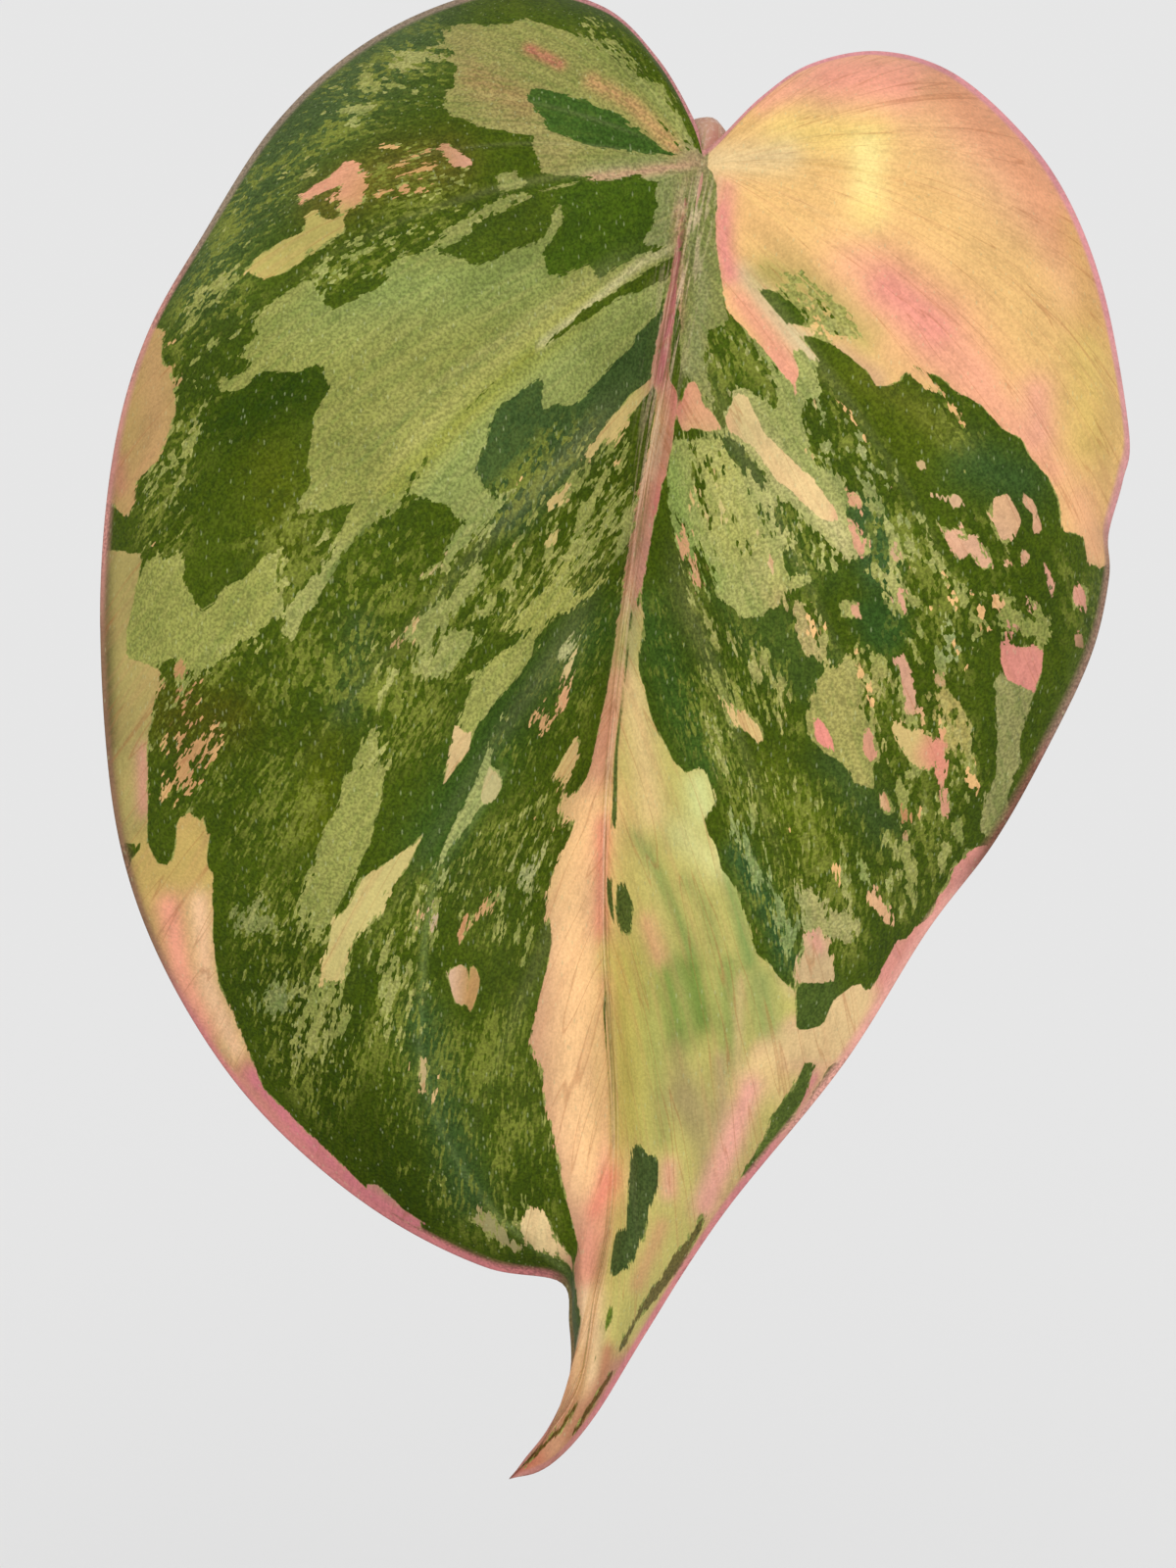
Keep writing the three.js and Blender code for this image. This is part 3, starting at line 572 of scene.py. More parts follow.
# The leaf's marks, laid one over another: what each is, its tone, colour and outline in pixels.
FRONT_MARKS = [
    # the lobe on the left, above the second vein
    ("upper field", SAGE, "#8b8a4a",
     "447,30 470,25 522,25 535,19 600,38 680,130 698,158 690,168 650,175 600,180 562,178 550,170 "
     "542,138 490,128 480,122 460,118 452,105 460,92 465,70 461,55 450,48"),
    ("sage by the notch", SAGE, "#848846",
     "596,36 622,40 640,66 660,84 676,88 694,118 706,150 698,160 680,132"),
    ("upper wedge", DARK, "#3d5a1e",
     "538,100 541,92 550,89 600,102 640,122 688,158 660,157 600,148 558,133 555,118 545,112"),
    ("upper left specks", SAGE, "#8c8d4c", "400,62 420,55 445,50 445,58 420,65 402,68"),
    ("lone sage", SAGE, "#8d9250", "345,115 365,104 385,105 380,120 360,128"),
    ("small sage", SAGE, "#a39a56", "302,178 320,168 330,172 318,182 304,188"),
    ("peach blaze", LIGHT, "#dd9c7d",
     "345,172 352,165 368,165 372,195 368,208 350,215 340,215 350,205 348,195 342,190 305,208 "
     "300,203"),
    ("sand blaze", LIGHT, "#b5a85e",
     "262,262 290,245 310,240 312,222 322,215 335,228 350,218 352,235 290,278 268,285 256,275"),
    ("pink fleck", LIGHT, "#d9a08a", "447,146 455,145 468,155 480,165 478,170 465,168 455,158"),
    ("pink dot", LIGHT, "#d9967f", "407,188 414,186 418,192 412,198 407,196"),
    ("sage chip", SAGE, "#8f9150", "506,178 515,175 528,175 535,185 532,192 508,193"),
    # between the second and third veins
    ("wide sage field", SAGE, "#8b8d46",
     "270,312 310,283 322,290 325,305 340,315 395,290 400,268 430,260 455,258 487,270 520,255 "
     "553,245 557,272 575,280 600,268 612,282 650,258 690,250 685,262 600,312 490,400 395,515 "
     "362,548 308,620 297,650 292,645 297,612 325,585 334,560 325,542 345,540 366,508 330,525 "
     "302,515 316,485 312,475 322,440 318,425 338,396 325,372 300,380 262,380 248,396 220,397 "
     "222,388 238,385 256,370 240,360 262,345 255,330"),
    ("sage strip by the vein", SAGE, "#8f9250",
     "553,345 522,371 467,426 427,476 395,512 402,519 470,436 556,352"),
    ("sage by the petiole", SAGE, "#868c58",
     "600,177 688,163 697,152 708,150 722,160 730,172 722,186 704,192 690,250 652,252 664,232 "
     "668,214 676,200 672,186 650,180 600,185"),
    ("dark above the vein", DARK, "#42590f",
     "575,200 582,190 610,185 660,183 672,190 672,200 660,232 645,245 612,252 582,275 572,280 "
     "560,280 553,258 557,245 570,232 575,222"),
    ("dark sliver", DARK, "#42590f", "600,272 635,250 655,242 652,255 615,282 612,275"),
    ("dark wave", DARK, "#47580f",
     "450,255 500,218 520,208 540,203 552,205 560,215 563,228 556,240 487,270 478,265 472,256 "
     "455,262"),
    ("sage between", SAGE, "#8f9050", "560,215 575,205 572,228 557,243 562,228"),
    ("sage under the vein", SAGE, "#8b8d4c",
     "475,238 500,215 540,200 600,184 580,186 500,206 470,225 440,250 455,248"),
    # down the left margin
    ("margin strip", LIGHT, "#b8995f",
     "150,335 168,335 164,365 178,385 187,410 160,470 142,485 130,530 100,500"),
    ("left islands", SAGE, "#989a4e",
     "150,570 180,565 187,572 190,600 205,622 215,618 230,595 250,588 270,562 290,562 285,590 "
     "285,620 260,648 228,668 205,690 185,668 130,690 125,660 128,630"),
    ("sage spot", SAGE, "#8f9450", "325,635 337,615 340,622 330,645"),
    ("margin cream", LIGHT, "#b0a060",
     "108,560 145,565 130,640 128,670 150,678 170,690 160,700 150,760 150,860 120,860 100,760 "
     "95,620"),
    ("peach streak", LIGHT, "#b8935f", "177,668 190,670 190,700 183,722 175,720 180,700"),
    ("lower cream", LIGHT, "#c6aa62",
     "150,858 160,880 172,882 178,865 180,840 185,830 200,832 203,838 208,832 209,848 214,850 "
     "210,880 216,890 217,960 222,1000 270,1112 400,1238 420,1252 460,1272 530,1302 480,1310 "
     "380,1260 230,1110 170,1020 140,940 130,880"),
    # between the third vein and the midrib
    ("sage fan", SAGE, "#87904e",
     "650,340 640,360 582,415 570,410 555,418 550,385 510,415 500,445 485,475 490,495 508,500 "
     "522,510 510,530 480,558 455,565 468,535 462,515 410,508 440,462 480,415 570,342 640,300 "
     "680,285 672,318"),
    ("bluish wedge", DARK, "#3f5528",
     "676,322 655,340 582,418 568,415 555,418 550,390 535,395 508,420 495,462 482,485 507,490 "
     "522,505 508,535 525,538 585,470 615,430 650,392 665,385 680,330"),
    ("pale streak", LIGHT, "#a9a35c", "668,385 645,400 615,435 597,465 605,462 645,420 665,395"),
    ("cream flecks", LIGHT, "#b9ad66", "555,520 562,505 580,492 575,508"),
    ("cream flecks", LIGHT, "#b9ad66", "553,560 560,548 574,538 566,552"),
    ("cream flecks", LIGHT, "#b3a860", "515,570 522,555 534,543 526,560"),
    ("sage lane", SAGE, "#8e9450", "655,490 648,530 640,560 610,600 602,600 625,560 640,520"),
    ("sage streak", SAGE, "#a2a250",
     "545,640 515,648 510,642 578,575 582,585 572,605 622,590 600,610 570,625 505,700 475,695"),
    ("sage lane", SAGE, "#8b8f4c",
     "400,650 440,618 470,590 492,565 500,572 480,600 472,620 450,640 430,655"),
    ("sage lane", SAGE, "#8f944f", "450,650 480,645 492,650 475,668 448,690 443,680"),
    ("dark chip", DARK, "#47580c", "495,600 505,580 525,565 515,592 495,608"),
    ("long sage blaze", SAGE, "#9b9d52",
     "550,660 530,690 505,715 480,752 462,745 468,735 480,700 478,695 495,690 525,668 540,660"),
    ("cream tip", LIGHT, "#d6b983", "482,748 478,765 452,800 451,798 463,755 462,742"),
    ("vein lane", SAGE, "#9aa060",
     "515,725 505,745 498,780 512,788 514,792 455,870 455,885 448,898 440,898 442,885 452,862 "
     "485,800 500,750"),
    ("cream thread", LIGHT, "#bfa987", "447,915 445,935 443,950 438,955 436,948 440,930 443,915"),
    ("long sage band", SAGE, "#95974e",
     "352,790 372,750 388,740 395,755 395,785 391,812 375,860 350,915 330,950 300,960 312,900 "
     "330,850 345,820"),
    ("cream wedge", LIGHT, "#c9ba76",
     "433,848 415,885 400,905 390,930 380,945 365,955 358,965 352,985 355,990 345,1000 335,1000 "
     "331,995 338,935 348,932 355,925 368,897 415,865"),
    ("sage tile", SAGE, "#7a8247",
     "237,930 262,916 276,913 278,925 270,930 280,940 270,948 240,950"),
    ("sage tile", SAGE, "#748048",
     "270,1010 285,1005 292,1020 290,1040 282,1030 265,1035 258,1020"),
    ("salmon fleck", LIGHT, "#c98f68",
     "505,905 515,905 495,935 478,945 472,960 467,965 468,950 475,938 490,925"),
    ("blush tile", LIGHT, "#dcb596", "465,985 475,982 477,1000 475,1025 465,1025 455,990"),
    ("ochre tile", LIGHT, "#b98f5a",
     "480,982 488,990 490,1005 485,1020 480,1032 476,1025 478,1000"),
    ("cream fleck", LIGHT, "#c9ad74", "590,750 592,760 578,790 570,795 565,795 570,780 578,765"),
    ("cream hook", LIGHT, "#f2d59c",
     "522,1246 536,1248 540,1235 551,1236 564,1252 573,1270 585,1284 583,1293 545,1271"),
    ("pale streak", LIGHT, "#a39a68",
     "470,1240 485,1240 490,1230 500,1235 520,1265 532,1272 530,1278"),
    ("margin streak", LIGHT, "#a8906c",
     "372,1208 385,1208 410,1232 435,1250 420,1250 405,1240 378,1218"),
    # the midrib and the peach blaze beside it
    ("midrib, upper part", LIGHT, "#b98a6e",
     "700,200 705,200 694,260 682,385 692,400 686,450 665,540 657,590 640,650 629,750 625,830 "
     "619,860 618,1000 615,1030 627,1190 625,1240 618,1320 608,1380 602,1400 590,1420 580,1400 "
     "592,1345 584,1300 586,1285 591,1275 575,1215 550,1085 543,1075 541,1060 563,960 562,942 "
     "555,940 562,905 560,900 584,845 585,833 565,848 570,835 570,820 590,805 600,790 620,700 "
     "636,590 665,440 670,400 664,380"),
    # the lobe on the right: no green in it down to the ragged dark shoulder
    ("peach lobe", LIGHT, "#eabd7a",
     "722,170 725,120 760,80 850,30 950,30 1050,90 1120,200 1170,330 1170,560 1122,578 1110,575 "
     "1105,547 1083,540 1080,510 1070,487 1050,465 1042,446 1022,438 1000,412 975,400 960,385 "
     "930,370 960,400 945,395 930,383 905,393 893,392 885,378 865,362 835,343 815,342 800,330 "
     "773,293 758,285 830,370 835,400 800,385 745,322 735,300 728,230 735,190"),
    ("dark flake", DARK, "#45590c", "772,293 797,297 813,308 831,328 825,333 800,328 787,312"),
    ("fibrous band", SAGE, "#83854a",
     "704,190 724,182 730,200 731,250 741,318 757,345 778,362 797,400 790,412 745,408 728,410 "
     "706,385 695,380 693,300"),
    ("sage ground", SAGE, "#9ca05a",
     "784,366 797,381 811,391 815,380 806,356 820,359 831,375 836,397 847,421 830,436 850,460 "
     "862,500 863,526 878,567 835,592 796,603 795,620 781,627 761,628 729,603 718,604 705,590 "
     "692,560 683,520 680,480 686,448 722,446 742,410 746,390 775,399 788,412 796,400"),
    ("cream blaze", LIGHT, "#e6c78e",
     "747,389 759,397 781,443 828,485 851,518 856,531 834,531 788,491 772,466 746,442 736,425 "
     "745,410"),
    ("cream lane", LIGHT, "#d6bf86", "731,392 738,392 752,420 768,446 758,444 740,420"),
    ("cream lane", LIGHT, "#dcc08c", "764,546 772,546 786,566 782,572 770,560"),
    ("cream core", LIGHT, "#d9b98a", "808,392 818,400 832,428 838,442 826,436 814,418"),
    ("peach end of the lane", LIGHT, "#e6a07e", "784,366 800,360 812,378 811,391 797,383"),
    ("vein strip", LIGHT, "#d2bf92",
     "756,279 782,306 804,333 822,349 838,370 833,371 797,336 774,308"),
    ("salmon patch", LIGHT, "#dfa27c",
     "700,392 708,388 734,430 738,440 722,441 706,436 697,440 690,425"),
    ("dark thread", DARK, "#5a6410", "723,407 730,408 737,420 743,437 737,437 729,424"),
    ("dark island", DARK, "#46590f",
     "721,348 737,341 742,333 765,363 778,364 797,396 788,413 775,399 743,386 745,410 736,411 "
     "726,403 720,378"),
    ("dark twig", DARK, "#405416", "726,439 746,445 775,491 792,501 765,498 749,482 736,465"),
    ("dark chip", DARK, "#415514",
     "782,518 805,521 818,544 825,570 857,587 844,597 821,583 805,590 795,570"),
    ("dark patch", DARK, "#43561a",
     "729,601 761,629 779,629 784,621 795,622 823,656 848,672 827,683 832,702 818,704 788,688 "
     "759,658"),
    ("dark wedge", DARK, "#45580e", "720,656 731,658 749,679 759,697 756,711 740,697 729,679"),
    ("tan stripe", SAGE, "#a09a5a", "731,645 745,653 778,686 770,692 752,678 736,662"),
    ("cream streak", LIGHT, "#e2b58c", "770,560 784,560 791,583 797,604 790,606 781,581"),
    ("tan streak", SAGE, "#b09c66", "790,605 809,613 827,642 833,668 825,663 804,633"),
    ("peach lane", LIGHT, "#d39c74", "686,530 695,545 704,563 721,594 715,606 703,590 692,562"),
    ("pale lane", LIGHT, "#b0a070", "429,590 436,580 470,556 466,566 440,588"),
    ("pale lane", LIGHT, "#a89868", "401,661 412,642 431,622 426,636 408,658"),
    ("sage streak", SAGE, "#9a9c58",
     "333,560 351,565 342,583 314,619 296,655 303,630 291,635 301,606 319,592"),
    ("cream blob", LIGHT, "#bdb27c", "488,814 499,781 508,791 514,799 502,818 494,821"),
    ("pale chip", SAGE, "#b4b47c", "568,678 574,662 588,646 584,660 574,678"),
    ("cream chip", LIGHT, "#d2bd84", "574,692 578,680 587,663 585,678 578,692"),
    ("peach chip", LIGHT, "#d9a478", "566,726 570,714 578,702 575,716"),
    ("peach chip", LIGHT, "#d0a070", "550,741 553,730 560,721 557,734"),
    ("pale streak", SAGE, "#a8a874", "548,865 545,885 526,912 532,888"),
    ("pale streak", LIGHT, "#c0aa78", "429,1080 434,1088 435,1118 430,1108"),
    ("tan fleck", LIGHT, "#b8a070", "932,470 940,468 949,477 938,479"),
    ("rose fleck", LIGHT, "#d8a08c", "966,504 976,503 986,515 973,518"),
    ("rose fleck", LIGHT, "#cf9a78", "1052,531 1060,530 1064,542 1055,543"),
    ("rose fleck", LIGHT, "#cc9478", "1028,634 1038,633 1043,644 1032,646"),
    ("tan fleck", LIGHT, "#bf9c78", "908,551 914,551 918,567 910,566"),
    ("tan fleck", LIGHT, "#bfa070", "953,684 962,685 966,700 956,698"),
    ("rose fleck", LIGHT, "#c89078", "1094,645 1104,646 1109,662 1098,660"),
    ("rose thread", LIGHT, "#c4826c", "1020,808 1026,815 1021,835 1007,851 1003,848 1015,830"),
    ("tan fleck", LIGHT, "#b9a06a", "1109,545 1122,545 1117,575 1110,572"),
    ("dark tile", DARK, "#3f5a2a", "870,517 885,515 893,530 893,545 880,545"),
    ("dark tile", DARK, "#3f5a2a", "882,552 900,549 909,565 906,593 890,590 882,572"),
    ("dark tile", DARK, "#38551e", "879,622 895,614 914,625 916,645 905,659 890,650"),
    ("pale thread", LIGHT, "#d8ac86", "897,459 907,464 924,479 925,485 914,477 901,471"),
    ("pale fleck", LIGHT, "#d3a47e", "902,489 911,489 915,500 906,500"),
    ("sage thread", SAGE, "#a5a56a", "865,438 872,444 887,474 884,481 873,462"),
    ("sage fleck", SAGE, "#8a8c52", "850,462 860,459 867,478 855,483"),
    ("peach drop", LIGHT, "#dca080", "862,524 870,530 880,548 888,551 878,568 872,554"),
    ("peach fleck", LIGHT, "#d8a27c", "862,507 873,507 876,518 867,516"),
    ("oval fleck", SAGE, "#a8a661", "901,579 911,576 922,604 911,608"),
    ("oval fleck", LIGHT, "#dba486", "910,605 921,600 927,618 921,630 914,618"),
    ("two-toned fleck", SAGE, "#9c9a56", "856,613 868,611 872,632 857,628"),
    ("two-toned fleck", LIGHT, "#dba482", "865,610 876,613 880,632 869,629"),
    ("grey-green fleck", SAGE, "#96a068", "955,631 969,634 981,663 978,676 966,666 957,647"),
    ("cream tile", LIGHT, "#deb083",
     "1010,508 1028,503 1038,522 1042,532 1030,552 1022,548 1012,520"),
    ("cream tile", LIGHT, "#d9a883", "1040,500 1055,512 1060,530 1045,515"),
    ("salmon blaze", LIGHT, "#dba582",
     "952,528 985,549 997,546 1013,578 1003,580 989,563 980,573 968,557"),
    ("pale fleck", LIGHT, "#d3ae84", "945,500 975,508 983,515 950,508"),
    ("pale fleck", LIGHT, "#d49f82", "982,470 993,480 985,484"),
    ("rose fleck", LIGHT, "#dc9482", "1065,570 1078,595 1073,613 1066,590"),
    ("rose fleck", LIGHT, "#dc9482", "1098,600 1107,600 1108,624 1097,612"),
    ("rose fleck", LIGHT, "#cf9a78", "1050,615 1064,616 1060,624 1050,622"),
    ("rose fleck", LIGHT, "#cf9a78", "1042,560 1052,568 1045,574"),
    ("rose tile", LIGHT, "#da8d7e",
     "1022,656 1039,660 1063,661 1063,684 1056,706 1042,716 1028,698 1021,673"),
    ("rose thread", LIGHT, "#d3a083", "906,669 921,669 929,693 933,720 928,728 922,706 915,680"),
    ("sand field", SAGE, "#a29a56",
     "800,700 815,710 838,688 865,670 885,690 900,690 900,710 875,712 888,735 900,770 890,780 "
     "895,800 890,805 873,800 860,778 840,768 825,752 800,745 800,735 806,720"),
    ("rose blaze", LIGHT, "#e58f80", "822,716 830,722 845,745 855,770 832,755 828,740 822,728"),
    ("rose patch", LIGHT, "#cf9478", "885,740 893,755 898,770 888,778 880,765 882,750"),
    ("cream tile", LIGHT, "#cdb474",
     "910,735 920,738 928,745 948,752 955,770 955,778 948,782 935,782 925,775 912,745"),
    ("sand tile", SAGE, "#b09f5a",
     "955,710 965,703 975,710 983,725 985,745 980,760 970,768 962,768 955,755 958,740 955,725"),
    ("rose thread", LIGHT, "#dc8f77",
     "955,755 962,762 960,770 965,775 960,800 955,790 953,775 948,768"),
    ("rose thread", LIGHT, "#d3987a", "960,805 970,805 970,832 962,830"),
    ("peach tile", LIGHT, "#e2b789", "897,807 905,805 910,820 912,828 905,830 898,825"),
    ("ochre fleck", LIGHT, "#b98558", "918,818 925,822 925,840 920,838"),
    ("cream band", LIGHT, "#e0c080",
     "735,710 740,715 765,725 775,735 779,745 779,752 775,758 760,745 750,740 742,728"),
    ("olive strip", SAGE, "#8f9440", "722,662 740,690 760,710 780,715 775,725 740,712 725,690"),
    ("sage rim", SAGE, "#94915a",
     "1015,700 1018,688 1055,705 1040,760 1042,780 1027,810 1030,830 1010,855 1000,848 1000,840 "
     "1005,810 1015,790 1020,750"),
    # the yellow-green field beside the midrib
    ("yellow-green field", LIGHT, "#c3b869",
     "655,605 658,640 650,668 652,690 665,735 688,778 700,788 712,783 720,785 728,810 728,825 "
     "720,830 718,835 722,850 730,860 735,885 750,905 770,970 800,1003 812,1010 812,1050 850,1080 "
     "790,1180 700,1290 640,1390 600,1440 620,1300 627,1190 618,1060 616,890 640,650"),
    ("dark blob", DARK, "#46592a", "619,892 625,893 625,928 633,945 625,942 619,915"),
    ("dark blob", DARK, "#4c5c26",
     "629,898 637,898 644,914 648,935 643,953 636,955 630,938 627,915"),
    ("dark blob", DARK, "#46562a",
     "645,1170 652,1168 672,1182 670,1215 655,1265 640,1295 625,1303 622,1295 626,1265 630,1252 "
     "638,1255 640,1205"),
    ("dark fleck", DARK, "#6b7d2c", "622,1330 626,1332 625,1345 618,1358 616,1350"),
    ("dark strip by the margin", DARK, "#5a6a2a",
     "830,1080 835,1082 832,1090 825,1100 822,1115 805,1145 770,1190 760,1200 753,1202 785,1150 "
     "785,1140 812,1105 822,1080"),
    ("brown strip by the margin", DARK, "#6b6030",
     "720,1235 722,1238 700,1285 670,1325 655,1340 640,1368 630,1380 650,1335 675,1300 682,1285 "
     "700,1265"),
    # the right margin and the patches just inside it
    ("rose margin", LIGHT, "#e59a8c",
     "990,865 968,885 965,900 955,912 950,930 925,957 915,960 888,1010 880,1010 870,1005 850,1020 "
     "840,1045 825,1050 812,1050 780,1075 790,1080 850,1085 900,1060 960,960 1020,870 1005,862"),
    ("cream corner", LIGHT, "#e3c28c",
     "870,1005 878,1003 885,1015 880,1030 850,1080 800,1080 770,1090 790,1065 812,1050 825,1050 "
     "840,1045 850,1020"),
    ("dark tile", DARK, "#4a5c22", "815,1003 830,1000 845,1003 850,1015 840,1045 812,1050"),
    ("sand strip", SAGE, "#a7a065",
     "812,905 835,912 850,925 862,940 875,948 868,958 846,956 834,962 822,955 816,935"),
    ("cream strip", LIGHT, "#cdb082", "822,952 834,948 842,958 850,1000 812,1003 808,995"),
    ("sage seam", SAGE, "#7f9056", "744,826 756,842 772,872 806,925 813,948 806,972 750,860"),
    ("peach arrow", LIGHT, "#e0b083",
     "888,905 897,903 900,915 905,918 917,903 918,920 912,945 905,942 890,925"),
    ("ochre thread", LIGHT, "#b08f66", "915,863 920,870 915,885 912,895 908,895 910,878"),
    ("ochre thread", LIGHT, "#a98e6d", "927,862 935,862 935,880 927,882"),
    ("sage chip", SAGE, "#8e9a55", "870,875 880,885 890,895 900,900 895,905 885,900 875,895"),
    # the drip tip
    ("drip tip", LIGHT, "#c08e6c",
     "580,1385 545,1445 500,1508 512,1520 550,1514 585,1490 615,1455 650,1390 612,1390"),
    ("dark line of the tip", DARK, "#6b4a20", "628,1398 585,1466 582,1463 624,1396"),
    ("dark line of the tip", DARK, "#5f4a20",
     "592,1430 572,1461 530,1501 528,1497 568,1458 588,1428"),
    ("dark line by the midrib", DARK, "#5a6a30",
     "643,620 645,620 638,700 630,765 629,845 623,845 627,765 636,700"),
    ("dark edge of the tip", DARK, "#4f5f2a",
     "572,1308 585,1298 592,1350 585,1385 580,1395 570,1390 576,1370"),
]
# Zones where the tones break up into specks: outline, how green, how deep, how coarse.
FRONT_SPECKLES = [
    ("180,320 230,200 330,80 450,10 462,55 450,110 330,160 300,220 260,260 "
     "220,330", 2.0, 0.55, 1.0),
    ("320,205 360,165 372,140 400,130 455,140 480,165 490,195 470,215 420,225 380,215 330,240 "
     "300,235", 0.35, 0.55, 1.1),
    ("300,240 470,200 545,200 450,250 390,290 330,300 300,270", 1.8, 0.4, 1.0),
    ("165,330 200,270 250,250 275,320 205,420 170,380", 1.8, 0.45, 1.0),
    ("190,400 235,400 205,460 195,560 170,570 130,560 135,480 170,450", 1.3, 0.2, 1.0),
    ("230,560 300,500 350,545 330,600 290,640 270,560", 2.0, 0.5, 1.0),
    ("155,680 210,660 250,690 245,750 215,810 155,830", 0.35, 0.7, 1.0),
    ("205,650 290,640 285,690 215,700", 1.5, 0.5, 1.0),
    ("205,700 300,650 380,520 430,470 440,560 420,650 350,760 320,860 230,900 "
     "215,830", 2.0, 1.0, 0.9),
    ("320,660 345,655 345,690 325,698", 2.0, 0.1, 1.0),
    ("375,665 430,640 500,640 480,690 440,720 400,790 352,795", 1.6, 0.35, 1.0),
    ("400,700 450,700 470,740 450,785 405,780", 1.5, 0.75, 1.0),
    ("400,660 440,560 560,430 650,420 655,500 640,560 590,620 520,640 430,650", 1.0, 0.15, 1.0),
    ("500,740 560,680 640,570 630,640 600,740 560,760 520,800", 1.4, 0.65, 1.0),
    ("500,830 560,790 600,740 605,760 560,930 520,900", 0.7, 0.45, 1.0),
    ("440,900 500,830 560,860 560,930 540,1000 470,960", 1.1, 0.35, 1.0),
    ("230,900 320,880 360,960 380,1090 330,1160 260,1080 230,1000", 1.9, 0.7, 1.0),
    ("280,985 350,985 370,1040 350,1090 315,1095 285,1040", 1.4, 0.05, 1.0),
    ("360,900 470,880 440,1080 370,1080", 1.4, 0.35, 1.0),
    ("380,1080 540,1000 560,1100 580,1260 480,1270 400,1210", 1.8, 0.95, 0.9),
    ("430,1200 560,1220 580,1290 500,1280", 1.1, 0.45, 1.0),
    ("640,600 680,600 700,640 760,700 740,790 700,780 660,700", 1.9, 0.75, 0.9),
    ("700,690 740,720 760,790 730,800", 1.5, 0.3, 1.0),
    ("740,760 820,760 900,850 900,960 850,1000 800,1000 760,930", 0.9, 0.8, 1.0),
    ("820,830 880,830 900,900 850,930 820,890", 0.75, 0.55, 1.0),
    ("725,780 800,780 805,930 770,960 745,880", 1.7, 0.3, 1.0),
    ("820,358 894,436 925,480 1000,620 960,640 900,640 860,600 872,552 850,460 "
     "847,421", 0.75, 0.25, 1.1),
    ("943,385 990,412 1005,440 985,460 955,450 935,405", 0.7, 0.7, 1.1),
    ("966,512 1019,512 1049,545 1049,590 1010,590 966,550", 0.45, 0.5, 1.0),
    ("950,590 1000,590 1060,600 1110,640 1060,665 1010,655 990,700 930,690 "
     "910,640", 0.6, 0.15, 1.0),
    ("850,640 900,650 1000,740 1010,800 990,870 930,900", 0.5, 0.1, 1.0),
    ("1060,560 1125,575 1125,640 1090,650", 0.6, 0.7, 1.0),
]
# Zones that break up again over the patches, such as the sage haze in the peach lobe.
FRONT_HAZES = [
    ("895,840 985,858 945,930 915,950 890,900", 0.9, 0.35, 1.1),
    ("588,8 624,16 684,104 672,108 606,40 588,30", 1.6, 0.05, 1.1),
    ("672,92 690,112 706,150 700,158", 1.6, -0.1, 1.0),
    ("700,455 735,450 795,560 795,600 760,622 725,600 700,555 690,500", 0.75, -0.6, 1.1),
    ("683,520 705,530 745,605 722,612 700,592", 0.35, 0.15, 1.0),
    ("745,445 765,455 800,520 780,520 760,490", 0.5, 0.0, 1.0),
    ("700,612 760,632 800,664 835,706 820,760 780,740 740,700", 1.0, 0.35, 1.0),
    ("831,376 925,487 900,500 868,474", 0.9, 0.3, 1.0),
    ("168,345 190,400 190,425 176,455 180,420", 0.6, 0.35, 1.0),
    ("716,340 745,328 770,352 800,392 790,418 764,392 745,400 740,416 722,410", 1.4, 0.4, 1.0),
    ("757,262 820,268 850,288 898,336 890,352 840,342 795,290", 0.45, -0.6, 1.0),
    ("185,700 215,695 240,740 225,790 190,830 165,820 160,750", 0.4, 0.6, 1.0),
    ("818,400 836,400 864,500 856,508 800,452 812,435", 0.9, 0.25, 1.0),
    ("762,462 862,560 850,590 825,590 800,560 755,490", 0.9, 0.15, 1.0),
    ("690,590 722,610 770,670 760,690 700,620", 0.9, 0.2, 1.0),
    ("800,640 830,676 850,676 860,640 835,600 810,610", 0.8, 0.1, 1.0),
]
